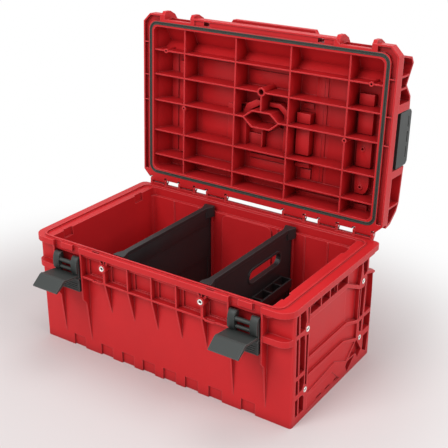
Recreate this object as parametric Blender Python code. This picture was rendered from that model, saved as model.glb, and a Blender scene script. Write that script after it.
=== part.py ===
"""Modular tool box: ribbed base, hinged lid held open, two sliding latches and two lift-out dividers.

Front is -Y, length runs along X, +Z is up. The origin is the middle of the base's underside.
All sizes below are millimetres; MM turns them into Blender's metres when a shape is made.
The lid is built shut and then turned about its hinge.
"""
import math

import bmesh
import bpy
from mathutils import Matrix, Vector

MM = 0.001

# Fits and walls
GAP = 0.3
WALL = 3.0
RIB = 2.8
BITE = 1.0

# Base
LENGTH = 585.0
DEPTH = 350.0
BASE_HEIGHT = 240.0
FLANGE_HEIGHT = 15.0
RIM_STEP = 3.5
RIM_FRONT_RADIUS = 27.0
RIM_BACK_RADIUS = 12.0
RIM_END_WIDTH = 42.0
RIM_WALL = 2.4
MOUTH_STEP = 6.0
TONGUE_WIDTH = 3.0
FLOOR_UNDERSIDE = 8.0
SKIN_SETBACK = 20.0
RIB_SETBACK = 3.5
MID_RIB_Z = 174.5
MID_RIB_THICK = 3.5
LEDGE_THICK = 12.0
RIB_PITCH = 56.25
GUSSET_FOOT_Z = 105.0
POCKET_BORDER = 9.0
POCKET_STEP = 4.0
END_RECESS = 12.0
END_PANEL_RECESS = 5.0
PADLOCK_X = 131.0
PADLOCK_WIDTH = 17.0
PADLOCK_HOLE = 7.0

# Threaded inserts
INSERT_RADIUS = 5.5
INSERT_BORE = 3.0
INSERT_LENGTH = 10.0
BOSS_RADIUS = 8.5
FRONT_INSERT_X = 113.5
FRONT_INSERT_Z = 209.3
END_INSERT_Y = 108.0
END_INSERT_Z = (58.1, 181.4)

# Latches; a frame climbs along a path that leans out to clear the rim
LATCH_X = 203.8
LATCH_WIDTH = 61.0
LATCH_SIDE_GAP = 2.3
LATCH_TRAVEL = 47.0
SLIDE_LEAN_DEG = 4.14
LATCH_BOTTOM = 142.5
LATCH_DEPTH = 2.8
LATCH_THICK = 4.8
EAR_WIDTH = 15.5
HOOK_HEIGHT = 12.7
HOOK_REACH = 4.6
HOOK_ROOM = 3.6
BAR_RADIUS = (4.2, 3.8)
BAR_DROP = (15.0, 29.5)
RUNNER_THICK = 3.5
RUNNER_DEPTH = 12.7
TONGUE_Y = (-164.5, -161.0)
TONGUE_REACH = 1.2
LEVER_Z = 170.0
LEVER_PIN_RADIUS = 1.6
LEVER_THICK = 3.6
LEVER_REACH = 41.6
LEVER_RAISE = 9.6
LIP_REACH = 21.8
LIP_DROP = 15.6
KNUCKLE_LEVER = 4.2

# Hinge; the leaves are measured in from each end of the box
HINGE_OUT = 6.0
HINGE_UP = 6.0
KNUCKLE_RADIUS = 5.2
HINGE_PIN_RADIUS = 1.9
LID_OPEN_DEG = 92.5
LEAF_INSETS = ((218.5, 175.5), (135.5, 100.5), (57.5, 23.9))
BASE_KNUCKLE = 5.0

# Lid, built shut
LID_GAP = 0.5
LID_INSET = 1.0
LID_BACK_SETBACK = 2.3
LID_OVERHANG = 10.2
GUARD_OVERHANG = 11.5
GUARD_WIDTH = 8.0
LID_LIP = 3.3
LIP_HEIGHT = 9.5
SKIRT_HEIGHT = 20.0
SKIRT_WALL = 3.5
GROOVE_DEPTH = 8.0
LID_CHAMFER = 17.0
LID_BODY_HEIGHT = 62.0
LID_INNER_HEIGHT = 52.0
LID_SIDE_LEAN = 14.0
ROOF_SLOPE = 0.5
ROOF_FRONT_Y = -108.0
HOLLOW_SLOPE_Y = -119.0
POD_REACH_IN = 24.0
SEAL_INSET = 20.5
SEAL_WIDTH = 5.0
SEAL_DEPTH = 6.0
SEAL_BACK_Y = 160.3
SEAL_FRONT_Y = -166.7
SEAL_RADIUS = 16.0
SEAL_WALL = 4.6
LID_RIB_START = 4.5
LID_RIB_PITCH = 127.0
LID_RIB_SHIFT = 4.0
LID_RIB_ALONG = (56.0, 111.5, 178.5, 235.0, 287.5)
GRIP_Y = (-57.2, 52.8)
GRIP_THICK = 11.0
GRIP_FINGERS = 14.0
GRIP_Z = (36.5, 88.0)
GRIP_PIN_HEIGHT = 64.0
GRIP_PIN_RADIUS = 3.0
HANDLE_HALF = 94.0
HANDLE_LEG_HALF = 106.0
HANDLE_Z = (44.0, 56.0)
HANDLE_BAR = 9.0
HANDLE_ROOT_Y = -135.0

# Dividers
DIVIDER_LEFT_X = -93.0
DIVIDER_RIGHT_X = 106.0
DIVIDER_THICK = 7.0
DIVIDER_HEAD = 23.0
DIVIDER_TOP = 233.0
DIVIDER_EDGE = 5.5
GUIDE_DEPTH = 5.0
HAND_SLOT_Y = (-12.0, 103.0)
HAND_SLOT_Z = 184.0
HAND_SLOT_RADIUS = 13.0
RACK_Z = (122.0, 140.0)
RACK_DEPTH = 26.0
RACK_PITCH = 36.0
RACK_LOOPS = 6

# Values that follow
HALF_L = LENGTH / 2
HALF_D = DEPTH / 2
FLANGE_Z = BASE_HEIGHT - FLANGE_HEIGHT
RIM_Z = BASE_HEIGHT - RIM_STEP
SKIN_X = HALF_L - 1.0
SKIN_Y = HALF_D - SKIN_SETBACK
RIB_Y = HALF_D - RIB_SETBACK
INNER_X = HALF_L - RIM_END_WIDTH
INNER_Y = SKIN_Y - WALL
FLOOR_Z = FLOOR_UNDERSIDE + WALL
SEAL_X = HALF_L - SEAL_INSET
MOUTH_FRONT_Y = SEAL_FRONT_Y + TONGUE_WIDTH / 2 + 0.6
MOUTH_BACK_Y = SEAL_BACK_Y - TONGUE_WIDTH / 2 - 0.6
MOUTH_LEDGE_Z = FLANGE_Z - MOUTH_STEP
LEAN = math.tan(math.radians(SLIDE_LEAN_DEG))
INSERT_FACE_Y = -HALF_D - 2.0
CUT = 5.0
RECESS_HALF = LATCH_WIDTH / 2 + LATCH_SIDE_GAP
BORDER_Y = HALF_D - 1.5
PLATE_TOP = LEVER_Z - 5.0
TONGUE_Z = (LATCH_BOTTOM + 2.0, PLATE_TOP - 2.0)
LATCH_RISE = LATCH_TRAVEL * math.cos(math.radians(SLIDE_LEAN_DEG))
LATCH_SHIFT = LATCH_TRAVEL * math.sin(math.radians(SLIDE_LEAN_DEG))
LATCH_BACK_Y = -HALF_D + LATCH_DEPTH
LATCH_FRONT_Y = LATCH_BACK_Y - LATCH_THICK
LEVER_Y = LATCH_BACK_Y - LATCH_THICK / 2
HINGE_Y = HALF_D + HINGE_OUT
HINGE_Z = BASE_HEIGHT + HINGE_UP
LEAVES = tuple((HALF_L - far, HALF_L - near) for far, near in LEAF_INSETS)
LID_Z = BASE_HEIGHT + LID_GAP
LID_HALF = HALF_L - LID_INSET
LID_BACK_Y = HALF_D + LID_BACK_SETBACK
LID_FRONT_Y = -HALF_D - LID_OVERHANG
GUARD_Y = -HALF_D - GUARD_OVERHANG
NOTCH_FLOOR_Y = LATCH_BACK_Y - LATCH_SHIFT + GAP
HOOK_END_Y = LATCH_BACK_Y - LATCH_SHIFT + HOOK_REACH + 0.5
POD_HALF = LID_HALF - 0.5
BODY_HALF = POD_HALF - GRIP_THICK - GRIP_FINGERS + 2.0
INNER_RIM_X = SEAL_X - SEAL_WIDTH / 2 - SEAL_WALL
INNER_FRONT_Y = SEAL_FRONT_Y + SEAL_WIDTH / 2 + SEAL_WALL
INNER_BACK_Y = SEAL_BACK_Y - SEAL_WIDTH / 2 - SEAL_WALL
HANDLE_Y = GUARD_Y
HOOK_Z = LID_Z + LIP_HEIGHT + GAP - LATCH_RISE
LATCH_TOP = HOOK_Z + HOOK_HEIGHT

PARTS = "tool_box"
HELPERS = "cutters"


# Scene and materials
for old in list(bpy.data.objects):
    bpy.data.objects.remove(old)

collections = {}
for collection_name in (PARTS, HELPERS):
    collections[collection_name] = bpy.data.collections.new(collection_name)
    bpy.context.scene.collection.children.link(collections[collection_name])


def make_material(name, color, roughness, metallic=0.0):
    material = bpy.data.materials.new(name)
    material.use_nodes = True
    shader = material.node_tree.nodes["Principled BSDF"]
    shader.inputs["Base Color"].default_value = (*color, 1.0)
    shader.inputs["Roughness"].default_value = roughness
    shader.inputs["Metallic"].default_value = metallic
    return material


RED = (0.58, 0.028, 0.032)
DARK = (0.035, 0.037, 0.037)
BLACK = (0.018, 0.017, 0.018)
SILVER = (0.62, 0.62, 0.6)


# Basic shapes, each a closed mesh in the cutters collection
def object_from_bmesh(name, shape):
    mesh = bpy.data.meshes.new(name)
    bmesh.ops.recalc_face_normals(shape, faces=shape.faces)
    shape.to_mesh(mesh)
    shape.free()
    made = bpy.data.objects.new(name, mesh)
    collections[HELPERS].objects.link(made)
    made.hide_render = True
    made.display_type = "WIRE"
    return made


def box(x, y, z):
    """A block between pairs of limits along X, Y and Z."""
    shape = bmesh.new()
    size = [abs(pair[1] - pair[0]) * MM for pair in (x, y, z)]
    centre = [(pair[0] + pair[1]) / 2 * MM for pair in (x, y, z)]
    place = Matrix.Translation(centre) @ Matrix.Diagonal((*size, 1.0))
    bmesh.ops.create_cube(shape, size=1.0, matrix=place)
    return object_from_bmesh("block", shape)


TURNS = {"X": Matrix(((0, 0, 1), (1, 0, 0), (0, 1, 0))),
         "Y": Matrix(((1, 0, 0), (0, 0, -1), (0, 1, 0))),
         "Z": Matrix.Identity(3)}


def prism(outline, axis, low, high):
    """A flat outline pushed along an axis; its points are (y, z), (x, z) or (x, y)."""
    curve = bpy.data.curves.new("outline", "CURVE")
    curve.dimensions = "2D"
    curve.fill_mode = "BOTH"
    curve.extrude = (high - low) / 2 * MM
    spline = curve.splines.new("POLY")
    spline.points.add(len(outline) - 1)
    for point, (a, b) in zip(spline.points, outline):
        point.co = (a * MM, b * MM, 0.0, 1.0)
    spline.use_cyclic_u = True
    flat = bpy.data.objects.new("outline", curve)
    middle = {"X": (1, 0, 0), "Y": (0, 1, 0), "Z": (0, 0, 1)}[axis]
    place = Matrix.Translation(Vector(middle) * (low + high) / 2 * MM) @ TURNS[axis].to_4x4()
    collections[HELPERS].objects.link(flat)
    bpy.context.view_layer.update()
    mesh = bpy.data.meshes.new_from_object(flat.evaluated_get(bpy.context.evaluated_depsgraph_get()))
    bpy.data.objects.remove(flat)
    shape = bmesh.new()
    shape.from_mesh(mesh)
    bpy.data.meshes.remove(mesh)
    bmesh.ops.remove_doubles(shape, verts=shape.verts, dist=0.00001)
    bmesh.ops.transform(shape, matrix=place, verts=shape.verts)
    return object_from_bmesh("profile", shape)


def rod(axis, low, high, across, radius, sides=16):
    """A round bar along an axis; across gives its two other coordinates in X, Y, Z order."""
    shape = bmesh.new()
    place = {"X": Vector(((low + high) / 2, across[0], across[1])),
             "Y": Vector((across[0], (low + high) / 2, across[1])),
             "Z": Vector((across[0], across[1], (low + high) / 2))}[axis]
    matrix = Matrix.Translation(place * MM) @ TURNS[axis].to_4x4()
    bmesh.ops.create_cone(shape, cap_ends=True, segments=sides, radius1=radius * MM,
                          radius2=radius * MM, depth=(high - low) * MM, matrix=matrix)
    return object_from_bmesh("rod", shape)


def arc(centre, radius, start_deg, end_deg, steps):
    """Points on an arc, both ends included."""
    angles = [math.radians(start_deg + (end_deg - start_deg) * i / steps) for i in range(steps + 1)]
    return [(centre[0] + radius * math.cos(a), centre[1] + radius * math.sin(a)) for a in angles]


def rounded_rectangle(half_x, y_low, y_high, front_radius, back_radius, steps=5):
    points = arc((half_x - back_radius, y_high - back_radius), back_radius, 0, 90, steps)
    points += arc((-half_x + back_radius, y_high - back_radius), back_radius, 90, 180, steps)
    points += arc((-half_x + front_radius, y_low + front_radius), front_radius, 180, 270, steps)
    points += arc((half_x - front_radius, y_low + front_radius), front_radius, 270, 360, steps)
    return points


def combine(name, main, adds, cuts, material=None):
    """Unite a solid with its added forms and cut it; with a material the result is a part."""
    for kind, helpers in (("UNION", adds), ("DIFFERENCE", cuts)):
        if not helpers:
            continue
        group = bpy.data.collections.new(name + "_" + kind.lower())
        collections[HELPERS].children.link(group)
        for helper in helpers:
            group.objects.link(helper)
        step = main.modifiers.new(kind.lower(), "BOOLEAN")
        step.operation = kind
        step.operand_type = "COLLECTION"
        step.collection = group
        step.solver = "EXACT"
    bpy.context.view_layer.update()
    graph = bpy.context.evaluated_depsgraph_get()
    mesh = bpy.data.meshes.new_from_object(main.evaluated_get(graph))
    for helper in [main, *adds, *cuts]:
        bpy.data.objects.remove(helper)
    mesh.name = name
    made = bpy.data.objects.new(name, mesh)
    collections[HELPERS].objects.link(made)
    made.hide_render = True
    made.display_type = "WIRE"
    return as_part(name, made, material) if material else made


def as_part(name, piece, material):
    """Put a finished helper shape in the parts collection."""
    collections[HELPERS].objects.unlink(piece)
    collections[PARTS].objects.link(piece)
    piece.name = name
    piece.data.name = name
    piece.hide_render = False
    piece.display_type = "TEXTURED"
    piece.data.shade_smooth()
    piece.data.set_sharp_from_angle(angle=math.radians(32))
    piece.data.materials.clear()
    piece.data.materials.append(material)
    return piece


def pivot(name, position, turn_deg=0.0):
    """An empty on a joint's axis."""
    empty = bpy.data.objects.new(name, None)
    empty.location = Vector(position) * MM
    empty.rotation_euler = (math.radians(turn_deg), 0.0, 0.0)
    collections[PARTS].objects.link(empty)
    return empty


def hang(part, empty):
    """Carry a part on an empty, with the part's origin on the joint's axis."""
    part.data.transform(Matrix.Translation(-empty.location))
    part.parent = empty


# Base shell
def base_body():
    outline = rounded_rectangle(SKIN_X, -SKIN_Y, SKIN_Y, 5.0, 5.0, 3)
    return prism(outline, "Z", 0.0, FLANGE_Z + BITE)


def base_rim():
    """The band round the top, and the step inside it that widens the mouth."""
    band = prism(rounded_rectangle(HALF_L, -HALF_D, HALF_D, RIM_FRONT_RADIUS, RIM_BACK_RADIUS), "Z", FLANGE_Z, RIM_Z)
    step = prism(rounded_rectangle(INNER_X + WALL, MOUTH_FRONT_Y - RIM_WALL, MOUTH_BACK_Y + RIM_WALL, 8.0, 8.0, 3),
                 "Z", MOUTH_LEDGE_Z - WALL, FLANGE_Z + BITE)
    return [band, step]


def tongue_ring():
    """The upstanding ridge of the rim that meets the lid's seal."""
    half = TONGUE_WIDTH / 2
    radius = SEAL_RADIUS
    outer = rounded_rectangle(SEAL_X + half, SEAL_FRONT_Y - half, SEAL_BACK_Y + half, radius + half, radius + half, 4)
    inner = rounded_rectangle(SEAL_X - half, SEAL_FRONT_Y + half, SEAL_BACK_Y - half, radius - half, radius - half, 4)
    ring = prism(outer, "Z", RIM_Z - BITE, BASE_HEIGHT)
    return combine("tongue", ring, [], [prism(inner, "Z", RIM_Z - CUT, BASE_HEIGHT + CUT)])


def front_ribs():
    """Mid rib with its padlock bulges, upright ribs with gussets below, and the stepped pockets' floor."""
    made = []
    inner_side = LATCH_X - RECESS_HALF
    mid = (MID_RIB_Z - MID_RIB_THICK / 2, MID_RIB_Z + MID_RIB_THICK / 2)
    made.append(box((-inner_side, inner_side), (-RIB_Y, -SKIN_Y + BITE), mid))
    made.append(box((-inner_side, inner_side), (-SKIN_Y - POCKET_STEP, -SKIN_Y + BITE), (mid[0], FLANGE_Z + BITE)))
    gusset = [(-SKIN_Y + BITE, GUSSET_FOOT_Z), (-SKIN_Y, GUSSET_FOOT_Z), (-RIB_Y, mid[0]),
              (-RIB_Y, FLANGE_Z + BITE), (-SKIN_Y + BITE, FLANGE_Z + BITE)]
    for i in range(-2, 3):
        made.append(prism(gusset, "X", i * RIB_PITCH - RIB / 2, i * RIB_PITCH + RIB / 2))
    half = PADLOCK_WIDTH / 2
    for centre in (-PADLOCK_X, PADLOCK_X):
        bulge = [(centre - half - 6.0, -RIB_Y + BITE), (centre - half, -RIB_Y - 3.0), (centre + half, -RIB_Y - 3.0),
                 (centre + half + 6.0, -RIB_Y + BITE)]
        made.append(prism(bulge, "Z", *mid))
    return made


def latch_borders():
    """The two full-depth ribs beside each latch; they step in and then taper to the foot."""
    step_y = -SKIN_Y - 9.0
    side = [(-SKIN_Y + BITE, 24.0), (-SKIN_Y, 24.0), (step_y, 114.0), (-BORDER_Y, 126.0),
            (-BORDER_Y, FLANGE_Z + BITE), (-SKIN_Y + BITE, FLANGE_Z + BITE)]
    made = []
    for centre in (-LATCH_X, LATCH_X):
        for x in (centre - RECESS_HALF - RIB, centre + RECESS_HALF):
            made.append(prism(side, "X", x, x + RIB))
    return made


def corner_ledges():
    start = LATCH_X + RECESS_HALF + RIB / 2
    radius = RIM_FRONT_RADIUS - 4.0
    outline = [(start, -SKIN_Y + BITE), (start, -RIB_Y)]
    outline += arc((SKIN_X - radius, -RIB_Y + radius), radius, 270, 322, 4)
    outline += [(SKIN_X - 2.0, -SKIN_Y + BITE)]
    low = MID_RIB_Z - LEDGE_THICK / 2
    right = prism(outline, "Z", low, low + LEDGE_THICK)
    left = prism([(-x, y) for x, y in outline], "Z", low, low + LEDGE_THICK)
    return [left, right]


def insert_bosses():
    """Round bosses round the front pair of threaded inserts, each with three webs."""
    made = []
    z = FRONT_INSERT_Z
    for x in (-FRONT_INSERT_X, FRONT_INSERT_X):
        made.append(rod("Y", INSERT_FACE_Y, -SKIN_Y + BITE, (x, z), BOSS_RADIUS))
        for side in (-1, 1):
            web = [(x + side * 2.0, z + 5.0), (x + side * 10.0, FLANGE_Z + BITE), (x + side * 13.0, FLANGE_Z + BITE),
                   (x + side * 6.0, z + 3.0)]
            made.append(prism(web, "Y", -RIB_Y, -SKIN_Y + BITE))
        made.append(box((x - 2.4, x + 2.4), (-RIB_Y, -SKIN_Y + BITE), (MID_RIB_Z, z)))
    return made


def back_ribs():
    """The back repeats the front's upper ribs, without the latch recesses."""
    made = []
    mid = (MID_RIB_Z - MID_RIB_THICK / 2, MID_RIB_Z + MID_RIB_THICK / 2)
    made.append(box((-SKIN_X + 6.0, SKIN_X - 6.0), (SKIN_Y - BITE, RIB_Y), mid))
    rib = [(SKIN_Y - BITE, GUSSET_FOOT_Z), (SKIN_Y, GUSSET_FOOT_Z), (RIB_Y, mid[0]),
           (RIB_Y, FLANGE_Z + BITE), (SKIN_Y - BITE, FLANGE_Z + BITE)]
    for i in range(-4, 5):
        made.append(prism(rib, "X", i * RIB_PITCH - RIB / 2, i * RIB_PITCH + RIB / 2))
    return made


def base_knuckles():
    """Knuckles either side of each lid leaf, on brackets from the rim's back face."""
    arm = [(HALF_D - 4.0, FLANGE_Z + 3.0), (HALF_D + 1.0, FLANGE_Z + 3.0)]
    arm += arc((HINGE_Y, HINGE_Z), KNUCKLE_RADIUS, -40, 205, 12)
    arm += [(HALF_D - 0.6, RIM_Z - 1.0), (HALF_D - 4.0, RIM_Z - 1.0)]
    made = []
    for low, high in LEAVES:
        for start in (low - GAP - BASE_KNUCKLE, high + GAP):
            for x in (start, -start - BASE_KNUCKLE):
                made.append(prism(arm, "X", x, x + BASE_KNUCKLE))
    return made


def divider_guides():
    """Pairs of upright ribs on the front and back walls that hold the dividers' ends."""
    made = []
    half = DIVIDER_THICK / 2 + GAP
    for centre in (DIVIDER_LEFT_X, DIVIDER_RIGHT_X):
        for x in (centre - half - RIB, centre + half):
            for low, high in ((-INNER_Y - BITE, -INNER_Y + GUIDE_DEPTH), (INNER_Y - GUIDE_DEPTH, INNER_Y + BITE)):
                made.append(box((x, x + RIB), (low, high), (FLOOR_Z - BITE, DIVIDER_TOP - 24.0)))
    return made


def back_panel():
    """The raised panel with round top corners between the dividers, and upright ribs beside the dividers."""
    radius = 12.0
    half = 61.0
    top = MOUTH_LEDGE_Z - 1.0
    outline = [(half, FLOOR_Z - BITE)] + arc((half - radius, top - radius), radius, 0, 90, 4)
    outline += arc((-half + radius, top - radius), radius, 90, 180, 4) + [(-half, FLOOR_Z - BITE)]
    made = [prism(outline, "Y", INNER_Y - 4.0, INNER_Y + BITE)]
    for x in (-190.0, -124.0, 74.0, 138.0, 190.0):
        made.append(box((x - 1.5, x + 1.5), (INNER_Y - 1.6, INNER_Y + BITE), (FLOOR_Z + 24.0, top)))
    return made


def pocket_cuts():
    """Stepped pockets of the front band."""
    made = []
    mid_top = MID_RIB_Z + MID_RIB_THICK / 2
    for i in range(-3, 3):
        low = i * RIB_PITCH + POCKET_BORDER
        high = (i + 1) * RIB_PITCH - RIB
        made.append(box((low, high), (-SKIN_Y - POCKET_STEP - 1.0, -SKIN_Y - 0.4),
                        (mid_top + 2.0, FLANGE_Z - POCKET_BORDER)))
    return made


def rim_cuts():
    """Room for the latches to pass, padlock slots, and notches in the mouth's ends."""
    made = []
    slot_low = MOUTH_LEDGE_Z + 2.0
    shelf_y = SEAL_FRONT_Y - TONGUE_WIDTH / 2 - 0.2
    for centre in (-LATCH_X, LATCH_X):
        made.append(box((centre - RECESS_HALF, centre + RECESS_HALF), (-HALF_D - CUT, -HALF_D + 1.8),
                        (slot_low, BASE_HEIGHT + CUT)))
        for side in (-1, 1):
            x = sorted((centre + side * RECESS_HALF, centre + side * (LATCH_WIDTH / 2 - EAR_WIDTH - 0.8)))
            made.append(box(x, (-HALF_D - CUT, shelf_y), (slot_low, BASE_HEIGHT + CUT)))
            made.append(box(x, (-HALF_D - CUT, shelf_y + 1.1), (slot_low, RIM_Z - 1.5)))
    for x in (-PADLOCK_X, PADLOCK_X):
        for y_low, low in ((-HALF_D + 2.2, FLANGE_Z - CUT), (-RIB_Y - 1.0, MID_RIB_Z - CUT)):
            made.append(box((x - PADLOCK_WIDTH / 2, x + PADLOCK_WIDTH / 2), (y_low, y_low + 4.0),
                            (low, low + 2 * CUT + FLANGE_HEIGHT)))
    for side in (-1, 1):
        x = sorted((side * (INNER_X - 1.0), side * (INNER_X + 4.0)))
        for y in ((-130.0, -105.0), (91.0, 116.0)):
            made.append(box(x, y, (MOUTH_LEDGE_Z, BASE_HEIGHT + CUT)))
    return made


def leaning(y, z):
    """The place of a point of the latch's path at another height."""
    return y - (z - TONGUE_Z[0]) * LEAN


def runner_grooves():
    """Grooves in the ribs beside each latch, for the tongues of its frame; they lean out."""
    low = TONGUE_Z[0] - GAP
    high = TONGUE_Z[1] + LATCH_RISE + GAP
    back, front = TONGUE_Y[1] + GAP, TONGUE_Y[0] - GAP
    outline = [(leaning(front, low), low), (leaning(back, low), low), (leaning(back, high), high),
               (leaning(front, high), high)]
    made = []
    reach = RECESS_HALF + TONGUE_REACH + GAP
    for centre in (-LATCH_X, LATCH_X):
        for side in (-1, 1):
            x = sorted((centre + side * (RECESS_HALF - 1.0), centre + side * reach))
            made.append(prism(outline, "X", *x))
    return made


def foot_cuts():
    """Shallow pockets along the lower edge of the front and back, and the hollow under the floor."""
    made = []
    for x in (25.2, 76.5, 130.5, 202.3):
        for centre in (-x, x):
            for side in (-1, 1):
                y = sorted((side * (SKIN_Y + CUT), side * (SKIN_Y - 3.5)))
                made.append(box((centre - 15.0, centre + 15.0), y, (-CUT, 25.0)))
    cell_x = (SKIN_X - 8.0) / 3
    for i in range(3):
        for side in (-1, 1):
            low = -SKIN_X + 8.0 + i * (2 * cell_x)
            y = sorted((side * 12.0, side * (SKIN_Y - 8.0)))
            made.append(box((low + 3.0, low + 2 * cell_x - 3.0), y, (-CUT, FLOOR_UNDERSIDE)))
    return made


def end_cuts(side):
    """Recesses of one ribbed end: upright ribs lean in to the inserts, and ledges cross between them."""
    made = []
    outer = side * (HALF_L + CUT)
    web = side * (SKIN_X - END_RECESS)
    panel = side * (SKIN_X - END_PANEL_RECESS)
    shallow = side * (SKIN_X - END_PANEL_RECESS / 2)

    def recess(outline, floor=web):
        made.append(prism(outline, "X", *sorted((floor, outer))))

    top = FLANGE_Z - 3.0
    recess([(-147.5, top), (-140.0, top), (-138.5, 184.0), (-147.5, 184.0)])
    recess([(-145.5, 176.0), (-138.0, 176.0), (-135.5, 100.0), (-143.5, 100.0)])
    recess([(-143.0, 92.0), (-135.0, 92.0), (-133.5, 62.0), (-142.5, 62.0)])
    recess([(-142.5, 52.0), (-133.5, 52.0), (-133.0, 16.0), (-141.0, 16.0)])
    recess([(-135.5, top), (-116.5, top), (-112.5, 200.0), (-117.5, 184.0), (-134.0, 184.0)])
    recess([(-133.5, 176.0), (-118.5, 174.0), (-115.5, 162.0), (-113.5, 100.0), (-131.5, 100.0)])
    recess([(-131.0, 92.0), (-113.2, 92.0), (-113.0, 74.0), (-118.5, 62.0), (-130.0, 62.0)])
    recess([(-129.5, 52.0), (-117.5, 52.0), (-112.0, 45.0), (-112.0, 16.0), (-129.0, 16.0)])
    recess([(102.5, top), (122.5, top), (122.5, 196.0), (112.0, 192.5), (108.0, 193.0)])
    recess([(120.0, 186.0), (117.0, 182.0), (114.0, 168.0), (102.0, 168.0), (101.0, 106.0), (114.0, 104.0)])
    recess([(101.5, 96.0), (113.5, 97.5), (112.0, 70.5), (103.5, 73.0)])
    recess([(126.5, top), (155.0, top), (155.0, 187.0), (126.5, 195.0)])
    recess([(122.5, 190.0), (154.0, 181.0), (151.0, 105.0), (121.5, 105.0)])
    recess([(120.5, 97.0), (150.0, 97.0), (148.0, 66.0), (119.0, 66.0)])
    recess([(124.0, 54.0), (147.0, 54.0), (140.0, 12.0), (124.0, 22.0)])
    recess([(-101.0, 196.0), (41.0, 196.0), (92.0, 170.0), (92.0, 104.0), (47.0, 120.0), (-101.0, 120.0)], panel)
    recess([(-101.0, 114.0), (46.0, 114.0), (92.0, 97.0), (92.0, 64.0), (38.0, 84.0), (-101.0, 84.0)], panel)
    recess([(-100.0, 80.0), (37.0, 80.0), (88.0, 58.0), (54.0, 31.0), (5.0, 55.0), (-100.0, 45.0)], shallow)
    recess([(-100.0, 38.0), (-4.0, 38.0), (28.0, 8.0), (-100.0, 8.0)], web)
    for y in (-93.0, -60.0, -27.0, 0.0):
        recess([(y, top), (y + 24.0, top), (y + 24.0, 207.0), (y, 207.0)], panel)
    return made


def insert_bores():
    made = []
    for x in (-FRONT_INSERT_X, FRONT_INSERT_X):
        made.append(rod("Y", -HALF_D - CUT, INSERT_FACE_Y + INSERT_LENGTH + GAP, (x, FRONT_INSERT_Z),
                        INSERT_RADIUS + GAP))
    for side in (-1, 1):
        ends = sorted((side * (HALF_L + CUT), side * (SKIN_X - INSERT_LENGTH - GAP)))
        for y in (-END_INSERT_Y, END_INSERT_Y):
            for z in END_INSERT_Z:
                made.append(rod("X", *ends, (y, z), INSERT_RADIUS + GAP))
    return made


def build_base(red):
    adds = base_rim() + front_ribs() + latch_borders() + corner_ledges() + insert_bosses() + back_ribs()
    interior = prism(rounded_rectangle(INNER_X, -INNER_Y, INNER_Y, 8.0, 8.0, 3), "Z", FLOOR_Z + 25.0,
                     BASE_HEIGHT + CUT)
    lower_interior = prism(rounded_rectangle(INNER_X - 3.0, -INNER_Y + 3.0, INNER_Y - 3.0, 8.0, 8.0, 3), "Z",
                           FLOOR_Z, FLOOR_Z + 26.0)
    mouth = prism(rounded_rectangle(INNER_X, MOUTH_FRONT_Y, MOUTH_BACK_Y, 8.0, 8.0, 3), "Z", MOUTH_LEDGE_Z,
                  BASE_HEIGHT + CUT)
    # the tub is hollowed first, so that what stands on its inner walls can be added afterwards
    tub = combine("tub", base_body(), adds, [interior, lower_interior, mouth])
    adds = [tongue_ring()] + back_panel() + divider_guides() + base_knuckles()
    cuts = pocket_cuts() + rim_cuts() + runner_grooves() + foot_cuts() + end_cuts(-1) + end_cuts(1)
    cuts += insert_bores()
    for low, high in LEAVES:
        for start, end in ((low - BASE_KNUCKLE - 1.0, high + BASE_KNUCKLE + 1.0),
                           (-high - BASE_KNUCKLE - 1.0, -low + BASE_KNUCKLE + 1.0)):
            cuts.append(rod("X", start, end, (HINGE_Y, HINGE_Z), HINGE_PIN_RADIUS + GAP))
    return combine("base_shell", tub, adds, cuts, red)


# Lid shell, drawn shut
def lid_flange():
    guard = LATCH_X + RECESS_HALF
    bar = LATCH_X - RECESS_HALF - GUARD_WIDTH
    half = [(0.0, LID_BACK_Y), (LID_HALF - LID_CHAMFER, LID_BACK_Y), (LID_HALF, LID_BACK_Y - LID_CHAMFER),
            (LID_HALF, LID_FRONT_Y + LID_CHAMFER), (LID_HALF - LID_CHAMFER, LID_FRONT_Y),
            (guard, LID_FRONT_Y), (guard, NOTCH_FLOOR_Y), (LATCH_X - RECESS_HALF, NOTCH_FLOOR_Y),
            (bar, LID_FRONT_Y), (0.0, LID_FRONT_Y)]
    outline = half + [(-x, y) for x, y in reversed(half[1:-1])]
    return prism(outline, "Z", LID_Z, LID_Z + SKIRT_HEIGHT)


def along(distance, height):
    """A point of the lid's end outline, from the hinge edge and from the flange's face."""
    return (LID_BACK_Y - distance, LID_Z + height)


def lid_body():
    """The raised middle of the lid: its roof falls to the front and its ends lean in."""
    low = LID_Z + SKIRT_HEIGHT - BITE
    top = LID_Z + LID_BODY_HEIGHT
    front_drop = (ROOF_FRONT_Y + 168.0) * ROOF_SLOPE
    outline = [(160.0, low), (160.0, top - 10.0), (150.0, top), (ROOF_FRONT_Y, top), (-168.0, top - front_drop),
               (-176.5, top - front_drop - 4.0), (-176.5, low)]
    body = prism(outline, "X", -BODY_HALF, BODY_HALF)
    wedges = []
    for side in (-1, 1):
        wedge = [(side * BODY_HALF, low), (side * (BODY_HALF - LID_SIDE_LEAN), top),
                 (side * (BODY_HALF - LID_SIDE_LEAN), top + CUT), (side * (BODY_HALF + CUT), top + CUT),
                 (side * (BODY_HALF + CUT), low)]
        wedges.append(prism(wedge, "Y", -200.0, 200.0))
    return combine("roof", body, [], wedges)


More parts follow.
